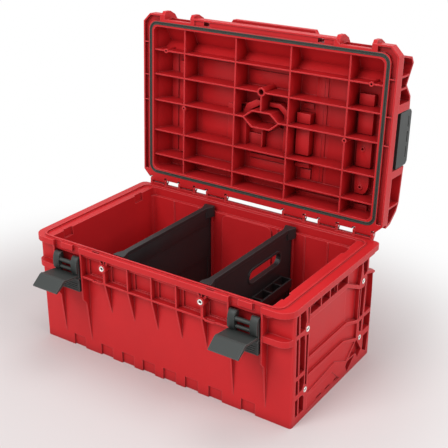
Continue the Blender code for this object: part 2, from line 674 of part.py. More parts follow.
def lid_hollow():
    """The space inside the lid, with a sloping front and leaning ends."""
    top = LID_Z + LID_INNER_HEIGHT
    space = prism(rounded_rectangle(INNER_RIM_X, INNER_FRONT_Y, INNER_BACK_Y, 12.0, 12.0, 4), "Z",
                  LID_Z - CUT, top)
    drop = (HOLLOW_SLOPE_Y - INNER_FRONT_Y) * ROOF_SLOPE
    slope = [(HOLLOW_SLOPE_Y + 2 * CUT, top + CUT), (HOLLOW_SLOPE_Y, top), (INNER_FRONT_Y, top - drop),
             (INNER_FRONT_Y - CUT, top - drop), (INNER_FRONT_Y - CUT, top + CUT)]
    wedges = [prism(slope, "X", -INNER_RIM_X - CUT, INNER_RIM_X + CUT)]
    for side in (-1, 1):
        wedge = [(side * INNER_RIM_X, top - 35.0), (side * (INNER_RIM_X - LID_SIDE_LEAN), top),
                 (side * (INNER_RIM_X - LID_SIDE_LEAN), top + CUT), (side * (INNER_RIM_X + CUT), top + CUT),
                 (side * (INNER_RIM_X + CUT), top - 35.0)]
        wedges.append(prism(wedge, "Y", -200.0, 200.0))
    return combine("hollow", space, [], wedges)


def lid_pods():
    """The four corner pods that carry the side grips."""
    front = [along(345.5, 18), along(337, 62), along(324, 72), along(286, 49), along(261, 73), along(236, 75),
             along(236, 18)]
    rear = [along(123, 18), along(123, 75), along(48, 70), along(32, 62), along(12, 36), along(9, 18)]
    made = []
    for outline in (front, rear):
        for side in (-1, 1):
            low, high = sorted((side * (POD_HALF - POD_REACH_IN - 14.0), side * POD_HALF))
            made.append(prism(outline, "X", low, high))
    return made


def pod_cuts(side):
    """The hollows in a pair of pods, open to the outside between their edge ribs."""
    x = sorted((side * (POD_HALF + CUT), side * (POD_HALF - POD_REACH_IN + 4.0)))
    return [prism([along(341, 24), along(333, 60), along(323, 67), along(306, 57), along(306, 24)], "X", *x),
            prism([along(302, 24), along(302, 55), along(286, 45), along(283, 45), along(283, 24)], "X", *x),
            prism([along(279, 24), along(279, 51), along(260, 69), along(252, 69), along(252, 24)], "X", *x),
            prism([along(108, 24), along(108, 70), along(50, 66), along(50, 24)], "X", *x),
            prism([along(46, 24), along(46, 65), along(35, 58), along(18, 36), along(15, 24)], "X", *x)]


def lid_guards():
    """Side walls of the latch notches; each peaks in front and runs back up the roof as a fin."""
    outline = [(-166.0, LID_Z + 1.0), (GUARD_Y + 2.0, LID_Z + 1.0), (GUARD_Y - 5.0, LID_Z + 6.0),
               (GUARD_Y - 5.0, LID_Z + 22.0), (GUARD_Y + 3.0, LID_Z + 38.0), (-168.0, LID_Z + 50.0),
               (-150.0, LID_Z + 54.0), (-140.0, LID_Z + 40.0)]
    made = []
    for x in (LATCH_X - RECESS_HALF - GUARD_WIDTH, LATCH_X + RECESS_HALF):
        for start in (x, -x - GUARD_WIDTH):
            made.append(prism(outline, "X", start, start + GUARD_WIDTH))
    return made


def lid_handle():
    """The carrying handle: one bar between two legs that run back onto the sloping roof."""
    low = LID_Z + HANDLE_Z[0]
    high = LID_Z + HANDLE_Z[1]
    outer = [(HANDLE_HALF, HANDLE_Y), (HANDLE_LEG_HALF, HANDLE_Y + 18.0), (HANDLE_LEG_HALF, HANDLE_ROOT_Y),
             (-HANDLE_LEG_HALF, HANDLE_ROOT_Y), (-HANDLE_LEG_HALF, HANDLE_Y + 18.0), (-HANDLE_HALF, HANDLE_Y)]
    inner_y = HANDLE_Y + HANDLE_BAR
    inner = [(HANDLE_HALF - 6.0, inner_y), (HANDLE_LEG_HALF - 12.0, HANDLE_Y + 20.0),
             (HANDLE_LEG_HALF - 12.0, HANDLE_ROOT_Y + CUT), (-HANDLE_LEG_HALF + 12.0, HANDLE_ROOT_Y + CUT),
             (-HANDLE_LEG_HALF + 12.0, HANDLE_Y + 20.0), (-HANDLE_HALF + 6.0, inner_y)]
    return combine("handle", prism(outer, "Z", low, high), [], [prism(inner, "Z", low - CUT, high + CUT)])


def lid_leaves():
    """Hinge leaves that reach from the flange to the pins."""
    outline = [(LID_BACK_Y - 6.0, LID_Z + 0.2)]
    outline += arc((HINGE_Y, HINGE_Z), KNUCKLE_RADIUS, -90, 130, 12)
    outline += [(LID_BACK_Y - 6.0, LID_Z + 13.0)]
    made = []
    for low, high in LEAVES:
        made.append(prism(outline, "X", low, high))
        made.append(prism(outline, "X", -high, -low))
    return made


def lid_ribs():
    """The egg-crate of ribs inside the lid; they follow its leaning ends and sloping front."""
    made = []
    low = LID_Z + LID_RIB_START
    high = LID_Z + LID_INNER_HEIGHT + BITE
    drop = (HOLLOW_SLOPE_Y - INNER_FRONT_Y) * ROOF_SLOPE
    lengthwise = [(INNER_BACK_Y + BITE, low), (INNER_BACK_Y + BITE, high), (HOLLOW_SLOPE_Y, high),
                  (INNER_FRONT_Y - BITE, high - drop), (INNER_FRONT_Y - BITE, low)]
    for i in range(4):
        x = LID_RIB_SHIFT + (i - 1.5) * LID_RIB_PITCH
        made.append(prism(lengthwise, "X", x - RIB / 2, x + RIB / 2))
    reach = INNER_RIM_X + BITE
    across = [(-reach, low), (reach, low), (reach, high - 35.0), (reach - LID_SIDE_LEAN, high),
              (LID_SIDE_LEAN - reach, high), (-reach, high - 35.0)]
    for distance in LID_RIB_ALONG:
        y = LID_BACK_Y - distance
        made.append(prism(across, "Y", y - RIB / 2, y + RIB / 2))
    return made


HEXAGON = ((-38.0, 179.0), (-17.0, 196.0), (28.0, 196.0), (49.0, 178.0), (28.0, 160.0), (-17.0, 160.0))
EYELETS = ((-234.5, 287.5), (240.3, 287.5), (-186.5, 171.0), (194.5, 171.0))
RING_AT = (4.2, 236.0)


def lid_hexagon():
    """The six-sided wall in the middle of the ribs, the round socket above it, and small eyes."""
    low = LID_Z + LID_RIB_START - 1.0
    high = LID_Z + LID_INNER_HEIGHT + BITE
    made = [prism([(x, LID_BACK_Y - distance) for x, distance in HEXAGON], "Z", low, high)]
    ring_x, distance = RING_AT
    made.append(rod("Z", low, high, (ring_x, LID_BACK_Y - distance), 9.0, 16))
    made.append(box((ring_x - RIB / 2, ring_x + RIB / 2), (LID_BACK_Y - distance, LID_BACK_Y - 194.0), (low + 1.0, high)))
    for x, place in EYELETS:
        made.append(rod("Z", low, high, (x, LID_BACK_Y - place), 4.8, 12))
    return made


def lid_hexagon_cuts():
    low = LID_Z + LID_RIB_START - CUT
    high = LID_Z + LID_INNER_HEIGHT
    centre_x = 5.5
    centre_y = LID_BACK_Y - 178.0
    inner = []
    for x, distance in HEXAGON:
        y = LID_BACK_Y - distance
        inner.append((centre_x + (x - centre_x) * 0.91, centre_y + (y - centre_y) * 0.85))
    made = [prism(inner, "Z", low, high)]
    made.append(rod("Z", low, high, (RING_AT[0], LID_BACK_Y - RING_AT[1]), 6.0, 16))
    for x, place in EYELETS:
        made.append(rod("Z", low, LID_Z + LID_RIB_START + 12.0, (x, LID_BACK_Y - place), 2.2, 12))
    return made


def seal_ring(width_extra, low, high):
    """The seal's ring, or its channel when it is widened."""
    half = SEAL_WIDTH / 2 + width_extra
    outer = rounded_rectangle(SEAL_X + half, SEAL_FRONT_Y - half, SEAL_BACK_Y + half, SEAL_RADIUS + half,
                              SEAL_RADIUS + half, 5)
    inner = rounded_rectangle(SEAL_X - half, SEAL_FRONT_Y + half, SEAL_BACK_Y - half, SEAL_RADIUS - half,
                              SEAL_RADIUS - half, 5)
    return prism(outer, "Z", low, high), prism(inner, "Z", low - 1.0, high + 1.0)


def lid_grooves():
    """The groove outside the seal: deep down both ends and corners, shallow behind the front bar."""
    wall = SEAL_X + SEAL_WIDTH / 2 + 2.3
    lip_x = LID_HALF - LID_LIP
    lip_y = LID_FRONT_Y + LID_LIP
    wall_y = SEAL_FRONT_Y - SEAL_WIDTH / 2 - 2.3
    guard = LATCH_X + RECESS_HALF + GUARD_WIDTH
    outline = [(wall, 157.0), (wall, -156.0), (wall - 5.3, -167.0), (wall - 14.0, wall_y), (guard + LID_LIP, wall_y),
               (guard + LID_LIP, lip_y), (LID_HALF - LID_CHAMFER - 1.4, lip_y),
               (lip_x, LID_FRONT_Y + LID_CHAMFER + 1.4), (lip_x, 157.0)]
    deep = (LID_Z - CUT, LID_Z + GROOVE_DEPTH)
    made = [prism(outline, "Z", *deep), prism([(-x, y) for x, y in outline], "Z", *deep)]
    bar = LATCH_X - RECESS_HALF - GUARD_WIDTH - LID_LIP
    made.append(box((-bar, bar), (lip_y, wall_y), (LID_Z - CUT, LID_Z + 3.0)))
    return made


def groove_webs():
    """Thin webs that cross the groove at the ends."""
    made = []
    for side in (-1, 1):
        x = sorted((side * (SEAL_X + SEAL_WIDTH / 2 + 1.5), side * (LID_HALF - BITE)))
        for distance in (302.0, 232.0, 177.0):
            y = LID_BACK_Y - distance
            made.append(box(x, (y - 1.0, y + 1.0), (LID_Z + 1.0, LID_Z + GROOVE_DEPTH + BITE)))
    return made


def latch_catches():
    """The groove above the lip in each latch notch, that the hooks catch in."""
    made = []
    low = LID_Z + LIP_HEIGHT
    for centre in (-LATCH_X, LATCH_X):
        made.append(box((centre - RECESS_HALF + 1.0, centre + RECESS_HALF - 1.0), (-200.0, HOOK_END_Y),
                        (low, low + GAP + HOOK_HEIGHT + HOOK_ROOM)))
    return made


def hinge_cuts():
    """Room for the base's knuckles beside each leaf, and the pins' bores."""
    made = []
    for low, high in LEAVES:
        for start, end in ((low - BASE_KNUCKLE - 2.0, low), (high, high + BASE_KNUCKLE + 2.0)):
            for x in ((start, end), (-end, -start)):
                made.append(box(x, (HINGE_Y - 8.5, HINGE_Y + 10.0), (LID_Z - CUT, LID_Z + 14.0)))
        for x in ((low - 3.0, high + 3.0), (-high - 3.0, -low + 3.0)):
            made.append(rod("X", *x, (HINGE_Y, HINGE_Z), HINGE_PIN_RADIUS + GAP))
    return made


def grip_pin_bores():
    made = []
    for side in (-1, 1):
        for y in GRIP_Y:
            outward = -1 if y < 0 else 1
            ends = sorted((y - outward * 1.0, y + outward * 12.0))
            made.append(rod("Y", *ends, (side * (POD_HALF - GRIP_THICK / 2), LID_Z + GRIP_PIN_HEIGHT),
                            GRIP_PIN_RADIUS + GAP))
    return made


def build_lid(red):
    adds = [lid_body(), lid_handle()] + lid_pods() + lid_guards() + lid_leaves()
    top = box((-236.0, 236.0), (ROOF_FRONT_Y + 10.0, 142.0), (LID_Z + LID_INNER_HEIGHT + WALL, LID_Z + 90.0))
    shell = combine("lid_hollow", lid_flange(), adds, [lid_hollow(), top] + lid_grooves())
    channel_outer, channel_inner = seal_ring(GAP, LID_Z - CUT, LID_Z + SEAL_DEPTH + GAP)
    channel = combine("channel", channel_outer, [], [channel_inner])
    cuts = [channel] + latch_catches() + hinge_cuts() + grip_pin_bores() + pod_cuts(-1) + pod_cuts(1)
    for x in (-PADLOCK_X, PADLOCK_X):
        cuts.append(box((x - PADLOCK_HOLE, x + PADLOCK_HOLE), (LID_FRONT_Y + LID_LIP, LID_FRONT_Y + 12.0),
                        (LID_Z - CUT, LID_Z + SKIRT_HEIGHT + CUT)))
    cuts += lid_hexagon_cuts()
    return combine("lid_shell", shell, lid_ribs() + lid_hexagon() + groove_webs(), cuts, red)


def build_seal(dark):
    outer, inner = seal_ring(0.0, LID_Z, LID_Z + SEAL_DEPTH)
    return combine("lid_seal", outer, [], [inner], dark)


def build_grip(name, side, dark):
    """A grip between two pods, with slots in its face and pin holes in its ends."""
    outer = side * POD_HALF
    inner = side * (POD_HALF - GRIP_THICK)
    y = (GRIP_Y[0] + GAP, GRIP_Y[1] - GAP)
    low, high = (LID_Z + height for height in GRIP_Z)
    outline = [(y[0], low), (y[1], low), (y[1], high - 6.0), (y[1] - 6.0, high), (y[0] + 6.0, high), (y[0], high - 6.0)]
    main = prism(outline, "X", *sorted((outer, inner)))
    cuts = []
    for start in y:
        inward = 1 if start < 0 else -1
        cuts.append(rod("Y", *sorted((start - inward, start + inward * 12.0)),
                        (side * (POD_HALF - GRIP_THICK / 2), LID_Z + GRIP_PIN_HEIGHT), GRIP_PIN_RADIUS + GAP))
    slot = sorted((outer + side * 1.0, outer - side * 1.6))
    for i in range(3):
        start = y[0] + 12.0 + i * 30.0
        cuts.append(box(slot, (start, start + 22.0), (high - 14.0, high - 10.0)))
    return combine(name, main, [], cuts, dark)


def build_grip_pins(word, side, steel):
    """Two short pins that hold a grip between its pods."""
    pins = []
    for place, y in zip(("front", "back"), GRIP_Y):
        pin = rod("Y", y - 11.0, y + 11.0, (side * (POD_HALF - GRIP_THICK / 2), LID_Z + GRIP_PIN_HEIGHT),
                  GRIP_PIN_RADIUS)
        pins.append(as_part("grip_pin_" + word + "_" + place, pin, steel))
    return pins


def build_hinge_pins(word, side, steel):
    """One pin through each leaf and the two knuckles beside it."""
    for place, (low, high) in zip(("inner", "middle", "outer"), LEAVES):
        ends = sorted((side * (low - BASE_KNUCKLE), side * (high + BASE_KNUCKLE)))
        pin = rod("X", *ends, (HINGE_Y, HINGE_Z), HINGE_PIN_RADIUS)
        as_part("hinge_pin_" + word + "_" + place, pin, steel)


# Latches
def build_latch_frame(name, centre, dark):
    """Two hooked ears, two cross bars and a ribbed plate in one moulding."""
    half = LATCH_WIDTH / 2
    front = LATCH_FRONT_Y
    main = box((centre - half, centre + half), (front, LATCH_BACK_Y), (LATCH_BOTTOM, PLATE_TOP))
    nose_y = LATCH_BACK_Y + HOOK_REACH
    ear = [(LATCH_BACK_Y, PLATE_TOP - BITE), (LATCH_BACK_Y, HOOK_Z), (nose_y, HOOK_Z)]
    ear += arc((nose_y - 4.2, LATCH_TOP - 5.0), 4.2, 0, 90, 4)
    ear += arc((front + 4.6, LATCH_TOP - 5.6), 4.8, 90, 180, 4)
    ear += [(front, PLATE_TOP - BITE)]
    adds = []
    reach = half + LATCH_SIDE_GAP + TONGUE_REACH
    back, foot = TONGUE_Y[1], TONGUE_Y[0]
    slanted = [(foot, TONGUE_Z[0]), (back, TONGUE_Z[0]), (leaning(back, TONGUE_Z[1]), TONGUE_Z[1]),
               (leaning(foot, TONGUE_Z[1]), TONGUE_Z[1])]
    for side in (-1, 1):
        ear_x = sorted((centre + side * half, centre + side * (half - EAR_WIDTH)))
        adds.append(prism(ear, "X", *ear_x))
        adds.append(rod("X", *ear_x, (LEVER_Y, LEVER_Z), KNUCKLE_LEVER))
        runner = sorted((centre + side * (half - RUNNER_THICK), centre + side * half))
        adds.append(box(runner, (LATCH_BACK_Y - BITE, LATCH_BACK_Y + RUNNER_DEPTH), (LATCH_BOTTOM, PLATE_TOP)))
        tongue = sorted((centre + side * (half - BITE), centre + side * reach))
        adds.append(prism(slanted, "X", *tongue))
    for radius, drop in zip(BAR_RADIUS, BAR_DROP):
        adds.append(rod("X", centre - half + 2.0, centre + half - 2.0, (LATCH_BACK_Y - radius, LATCH_TOP - drop),
                        radius, 12))
    cuts = [rod("X", centre - half - 1.0, centre + half + 1.0, (LEVER_Y, LEVER_Z), LEVER_PIN_RADIUS + GAP)]
    pitch = 4.2
    count = int((PLATE_TOP - LATCH_BOTTOM - 4.0) / pitch)
    for i in range(count):
        z = LATCH_BOTTOM + 3.0 + i * pitch
        cuts.append(box((centre - half + 4.0, centre + half - 4.0), (front - 2.0, front + 1.2), (z, z + pitch / 2)))
    return combine(name, main, adds, cuts, dark)


def build_latch_lever(name, centre, dark):
    """The lever is drawn at rest, tipped out: a plate, a bent lip and a knuckle between the ears."""
    half = LATCH_WIDTH / 2 - EAR_WIDTH - 0.8
    root_y = LATCH_FRONT_Y - 2.0
    root_z = LEVER_Z + 5.2
    bend = (LEVER_Y - LEVER_REACH, LEVER_Z + LEVER_RAISE)
    tip = (bend[0] - LIP_REACH, bend[1] - LIP_DROP)
    plate = [(root_y, root_z), (bend[0] + 3.0, bend[1] - 0.4), (bend[0] - 2.0, bend[1] - 5.0), tip,
             (tip[0] - 2.0, tip[1] + 2.6), (bend[0] - 3.0, bend[1] + LEVER_THICK - 0.2),
             (bend[0] + 1.5, bend[1] + LEVER_THICK + 1.0), (bend[0] + 5.0, bend[1] + LEVER_THICK - 0.6),
             (root_y, root_z + LEVER_THICK)]
    main = prism(plate, "X", centre - LATCH_WIDTH / 2, centre + LATCH_WIDTH / 2)
    arm = [(root_y - 6.0, root_z + 1.4), (root_y - 6.0, root_z + LEVER_THICK - 0.4), (LEVER_Y + 1.0, root_z + 2.0)]
    arm += arc((LEVER_Y, LEVER_Z), KNUCKLE_LEVER, 60, -240, 12)
    adds = [prism(arm, "X", centre - half, centre + half)]
    cuts = [rod("X", centre - half - 1.0, centre + half + 1.0, (LEVER_Y, LEVER_Z), LEVER_PIN_RADIUS + GAP)]
    return combine(name, main, adds, cuts, dark)


def build_latch_pin(name, centre, steel):
    half = LATCH_WIDTH / 2 - 0.5
    return as_part(name, rod("X", centre - half, centre + half, (LEVER_Y, LEVER_Z), LEVER_PIN_RADIUS), steel)


# Inserts
def build_insert(name, axis, low, high, across, steel):
    """A round bush with a bore right through it."""
    bush = rod(axis, low, high, across, INSERT_RADIUS)
    return combine(name, bush, [], [rod(axis, low - 1.0, high + 1.0, across, INSERT_BORE)], steel)


def build_inserts(steel):
    for word, side in (("left", -1), ("right", 1)):
        build_insert("insert_front_" + word, "Y", INSERT_FACE_Y, INSERT_FACE_Y + INSERT_LENGTH,
                     (side * FRONT_INSERT_X, FRONT_INSERT_Z), steel)
        low, high = sorted((side * SKIN_X, side * (SKIN_X - INSERT_LENGTH)))
        for place, y in (("front", -END_INSERT_Y), ("back", END_INSERT_Y)):
            for level, z in zip(("lower", "upper"), END_INSERT_Z):
                build_insert("insert_" + word + "_" + place + "_" + level, "X", low, high, (y, z), steel)


# Dividers
def build_divider(name, centre, hand_slot, black):
    """A board with a thicker top edge and flared ends that rest on the guides' tops."""
    half_y = INNER_Y - 1.0
    top_cut = FLOOR_Z + 30.0
    outline = [(-half_y + 4.0, FLOOR_Z + GAP), (half_y - 4.0, FLOOR_Z + GAP), (half_y - 4.0, top_cut),
               (half_y, top_cut + 2.0), (half_y, DIVIDER_TOP), (-half_y, DIVIDER_TOP), (-half_y, top_cut + 2.0),
               (-half_y + 4.0, top_cut)]
    main = prism(outline, "X", centre - DIVIDER_THICK / 2, centre + DIVIDER_THICK / 2)
    head_low = DIVIDER_TOP - 23.0
    adds = []
    for side in (-1, 1):
        wide = DIVIDER_HEAD / 2
        tab = [(centre - wide, side * half_y), (centre + wide, side * half_y), (centre + wide, side * (half_y - 6.0)),
               (centre + DIVIDER_EDGE, side * (half_y - 22.0)), (centre - DIVIDER_EDGE, side * (half_y - 22.0)),
               (centre - wide, side * (half_y - 6.0))]
        adds.append(prism(tab, "Z", head_low, DIVIDER_TOP))
    adds.append(box((centre - DIVIDER_EDGE, centre + DIVIDER_EDGE), (-half_y + 10.0, half_y - 10.0),
                    (DIVIDER_TOP - 8.0, DIVIDER_TOP)))
    cuts = []
    for side in (-1, 1):
        x = sorted((centre + side * (DIVIDER_THICK / 2 + 1.0), centre + side * (DIVIDER_THICK / 2 - 1.6)))
        cuts.append(box(x, (-half_y + 14.0, half_y - 14.0), (FLOOR_Z + 12.0, RACK_Z[0] - 4.0)))
    if hand_slot:
        y_low, y_high = HAND_SLOT_Y
        z = HAND_SLOT_Z
        radius = HAND_SLOT_RADIUS
        slot = arc((y_high - radius, z), radius, -90, 90, 8) + arc((y_low + radius, z), radius, 90, 270, 8)
        rim = arc((y_high - radius, z), radius + 4, -90, 90, 8) + arc((y_low + radius, z), radius + 4, 90, 270, 8)
        adds.append(prism(rim, "X", centre - DIVIDER_THICK / 2 - 2.0, centre + DIVIDER_THICK / 2 + 2.0))
        cuts.append(prism(slot, "X", centre - 20.0, centre + 20.0))
    return combine(name, main, adds, cuts, black)


def build_rack(black):
    """A strip with open loops for hand tools, on the right divider's far side."""
    face = DIVIDER_RIGHT_X + DIVIDER_THICK / 2 + GAP
    start = -RACK_LOOPS * RACK_PITCH / 2
    main = box((face, face + RACK_DEPTH), (start, -start), RACK_Z)
    cuts = []
    for i in range(RACK_LOOPS):
        y = start + i * RACK_PITCH
        cuts.append(box((face + 3.0, face + RACK_DEPTH - 3.0), (y + 1.5, y + RACK_PITCH - 1.5),
                        (RACK_Z[0] - CUT, RACK_Z[1] + CUT)))
    return combine("tool_rack", main, [], cuts, black)


# The assembly
red = make_material("red_plastic", RED, 0.38)
dark = make_material("dark_plastic", DARK, 0.45)
black = make_material("black_plastic", BLACK, 0.5)
rubber = make_material("seal_rubber", (0.05, 0.055, 0.05), 0.7)
steel = make_material("steel", SILVER, 0.25, 1.0)

build_base(red)

lid_pivot = pivot("lid_pivot", (0.0, HINGE_Y, HINGE_Z), -LID_OPEN_DEG)
hang(build_lid(red), lid_pivot)
hang(build_seal(rubber), lid_pivot)
for word, side in (("left", -1), ("right", 1)):
    build_hinge_pins(word, side, steel)
    hang(build_grip("side_grip_" + word, side, dark), lid_pivot)
    for grip_pin in build_grip_pins(word, side, steel):
        hang(grip_pin, lid_pivot)
    centre = side * LATCH_X
    build_latch_frame("latch_frame_" + word, centre, dark)
    lever_pivot = pivot("lever_pivot_" + word, (centre, LEVER_Y, LEVER_Z))
    hang(build_latch_lever("latch_lever_" + word, centre, dark), lever_pivot)
    build_latch_pin("latch_pivot_pin_" + word, centre, steel)

build_inserts(steel)
build_divider("divider_left", DIVIDER_LEFT_X, False, black)
build_divider("divider_right", DIVIDER_RIGHT_X, True, black)
build_rack(black)
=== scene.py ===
# An open tool box on pale paper, drawn round its CAD solids, with each moving part on its own body.
import math

import bmesh
import bpy
from mathutils import Matrix, Vector


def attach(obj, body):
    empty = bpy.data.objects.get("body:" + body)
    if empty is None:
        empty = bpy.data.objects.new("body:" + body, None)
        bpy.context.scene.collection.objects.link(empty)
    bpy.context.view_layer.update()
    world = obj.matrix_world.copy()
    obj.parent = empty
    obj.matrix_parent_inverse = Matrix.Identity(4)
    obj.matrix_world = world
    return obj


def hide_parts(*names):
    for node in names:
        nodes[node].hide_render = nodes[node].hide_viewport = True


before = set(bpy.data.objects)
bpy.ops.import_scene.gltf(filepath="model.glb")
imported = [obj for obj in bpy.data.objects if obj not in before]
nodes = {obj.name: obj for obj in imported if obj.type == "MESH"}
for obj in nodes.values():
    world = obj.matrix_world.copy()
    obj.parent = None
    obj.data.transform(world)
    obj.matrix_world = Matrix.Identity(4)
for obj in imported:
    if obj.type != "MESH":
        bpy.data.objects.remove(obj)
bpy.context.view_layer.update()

# The camera stands to the right of the box and looks down on it, as in the photograph.
# Its place, its turns and its lens were fitted to the corners of the box.
scene = bpy.context.scene
scene.view_settings.view_transform = "Standard"

CAMERA_PLACE = Vector((0.91468, -1.29011, 0.96152))
CAMERA_YAW = math.radians(-34.008)
CAMERA_PITCH = math.radians(-23.743)
CAMERA_ROLL = math.radians(0.2227)
CAMERA_LENS = 71.72
SENSOR = 36.0

forward = Vector((math.sin(CAMERA_YAW) * math.cos(CAMERA_PITCH),
                  math.cos(CAMERA_YAW) * math.cos(CAMERA_PITCH),
                  math.sin(CAMERA_PITCH)))
level_right = Vector((math.cos(CAMERA_YAW), -math.sin(CAMERA_YAW), 0.0))
level_up = level_right.cross(forward)
right = level_right * math.cos(CAMERA_ROLL) + level_up * math.sin(CAMERA_ROLL)
up = level_up * math.cos(CAMERA_ROLL) - level_right * math.sin(CAMERA_ROLL)
camera_turn = Matrix((right, up, -forward)).transposed().to_4x4()
camera = bpy.data.objects.new("camera", bpy.data.cameras.new("camera"))
camera.data.sensor_width = SENSOR
camera.data.lens = CAMERA_LENS
camera.matrix_world = Matrix.Translation(CAMERA_PLACE) @ camera_turn
scene.collection.objects.link(camera)
scene.camera = camera


# The studio floor: matt pale paper that keeps the box's shadow close by and runs out to plain
# white further off. The white that is added is seen only by camera, gloss and glass rays.
def new_material(name):
    """A node material, its tree and its Principled shader."""
    material = bpy.data.materials.new(name)
    material.use_nodes = True
    return material, material.node_tree, material.node_tree.nodes["Principled BSDF"]


def add_node(tree, kind, **settings):
    """A shader node with its settings; keys that name an input set that input."""
    made = tree.nodes.new(kind)
    for key, value in settings.items():
        title = key.replace("_", " ").title()
        if title in made.inputs:
            made.inputs[title].default_value = value
        else:
            setattr(made, key, value)
    return made


def seen_ray(tree):
    """One where a camera, glossy or transmission ray looks, and nought for the light itself."""
    path = add_node(tree, "ShaderNodeLightPath")
    first = add_node(tree, "ShaderNodeMath", operation="MAXIMUM")
    second = add_node(tree, "ShaderNodeMath", operation="MAXIMUM")
    tree.links.new(path.outputs["Is Camera Ray"], first.inputs[0])
    tree.links.new(path.outputs["Is Glossy Ray"], first.inputs[1])
    tree.links.new(first.outputs[0], second.inputs[0])
    tree.links.new(path.outputs["Is Transmission Ray"], second.inputs[1])
    return second.outputs[0]


PAPER = (0.70, 0.66, 0.66)
PAPER_ROUGHNESS = 0.9
HALF_FLOOR = 6.0
SHADOW_REACH = (0.38, 0.92)
SHADOW_CENTRE = (-0.05, -0.12, 0.0)

paper, paper_tree, paper_shader = new_material("pale_paper")
paper_shader.inputs["Base Color"].default_value = (*PAPER, 1.0)
paper_shader.inputs["Roughness"].default_value = PAPER_ROUGHNESS
paper_shader.inputs["Specular IOR Level"].default_value = 0.0
white = add_node(paper_tree, "ShaderNodeEmission")
place = add_node(paper_tree, "ShaderNodeTexCoord")
distance = add_node(paper_tree, "ShaderNodeVectorMath", operation="DISTANCE")
distance.inputs[1].default_value = SHADOW_CENTRE
fade = add_node(paper_tree, "ShaderNodeMapRange", interpolation_type="SMOOTHERSTEP",
                from_min=SHADOW_REACH[0], from_max=SHADOW_REACH[1])
share = add_node(paper_tree, "ShaderNodeMath", operation="MULTIPLY")
paper_mix = add_node(paper_tree, "ShaderNodeMixShader")
link = paper_tree.links.new
link(place.outputs["Object"], distance.inputs[0])
link(distance.outputs["Value"], fade.inputs["Value"])
link(fade.outputs["Result"], share.inputs[0])
link(seen_ray(paper_tree), share.inputs[1])
link(share.outputs[0], paper_mix.inputs["Fac"])
link(paper_shader.outputs["BSDF"], paper_mix.inputs[1])
link(white.outputs["Emission"], paper_mix.inputs[2])
link(paper_mix.outputs["Shader"], paper_tree.nodes["Material Output"].inputs["Surface"])

floor_mesh = bpy.data.meshes.new("floor")
floor_mesh.from_pydata([(-HALF_FLOOR, -HALF_FLOOR, 0.0), (HALF_FLOOR, -HALF_FLOOR, 0.0),
                        (HALF_FLOOR, HALF_FLOOR, 0.0), (-HALF_FLOOR, HALF_FLOOR, 0.0)], [], [(0, 1, 2, 3)])
floor_mesh.materials.append(paper)
floor = bpy.data.objects.new("floor", floor_mesh)
scene.collection.objects.link(floor)

# The light: a white room, a large soft box in front, and two weaker ones at the right and above.
# The room looks plain white, but it gives off only half of that as light.
ROOM_LIGHT = 0.50
WHITE = (1.0, 1.0, 1.0, 1.0)

world = bpy.data.worlds.new("studio")
scene.world = world
world.use_nodes = True
world_light = world.node_tree.nodes["Background"]
world_light.inputs["Color"].default_value = WHITE
world_light.inputs["Strength"].default_value = ROOM_LIGHT
world_seen = add_node(world.node_tree, "ShaderNodeBackground", color=WHITE, strength=1.0)
world_mix = add_node(world.node_tree, "ShaderNodeMixShader")
link = world.node_tree.links.new
link(seen_ray(world.node_tree), world_mix.inputs["Fac"])
link(world_light.outputs["Background"], world_mix.inputs[1])
link(world_seen.outputs["Background"], world_mix.inputs[2])
link(world_mix.outputs["Shader"], world.node_tree.nodes["World Output"].inputs["Surface"])


def lamp(name, place, target, size, watts):
    """A square soft box that faces a point."""
    data = bpy.data.lights.new(name, "AREA")
    data.size = size
    data.energy = watts
    made = bpy.data.objects.new(name, data)
    made.location = place
    made.rotation_euler = (Vector(target) - Vector(place)).to_track_quat("-Z", "Y").to_euler()
    scene.collection.objects.link(made)


lamp("front_box", place=(-0.6, -2.3, 2.3), target=(0.0, 0.0, 0.2), size=1.4, watts=48.0)
lamp("right_box", place=(2.4, -0.2, 1.9), target=(0.0, 0.0, 0.2), size=1.4, watts=24.0)
lamp("top_box", place=(0.2, 0.6, 3.0), target=(0.0, 0.0, 0.3), size=1.6, watts=20.0)


# The base shell: one injection moulding in red polypropylene, with thin ribs round a plain tub.
# It has a satin skin with a fine grain; a painted highlight makes its rounded edges paler, and painted shade
# darkens its hollows.
RED = (0.60, 0.018, 0.022)
# The paler red below is a painted highlight on the rounded edges.
RED_EDGE_HIGHLIGHT = (0.90, 0.15, 0.16)
RED_ROUGHNESS = 0.42
RED_GLOSS = 0.22
CLOUD_SCALE = 7.0
CLOUD_SPAN = (0.3, 0.7)
CLOUD_SHINE = (-0.05, 0.09)
CLOUD_TONE = (0.94, 1.05)
GRAIN_SCALE = 1400.0
GRAIN_STRENGTH = 0.10
GRAIN_HEIGHT = 0.0002
EDGE_ROUND = 0.0013
EDGE_BEND = (0.996, 0.82)
EDGE_HIGHLIGHT_SHARE = 0.9
# Painted shade in hollows: how far the occlusion looks, its span, and the darkest share of the colour.
HOLLOW_REACH = 0.03
HOLLOW_OPEN = (0.15, 0.85)
HOLLOW_PAINTED_SHADE = 0.42
MIX_FIRST = 6
MIX_SECOND = 7
MIX_COLOR = 2


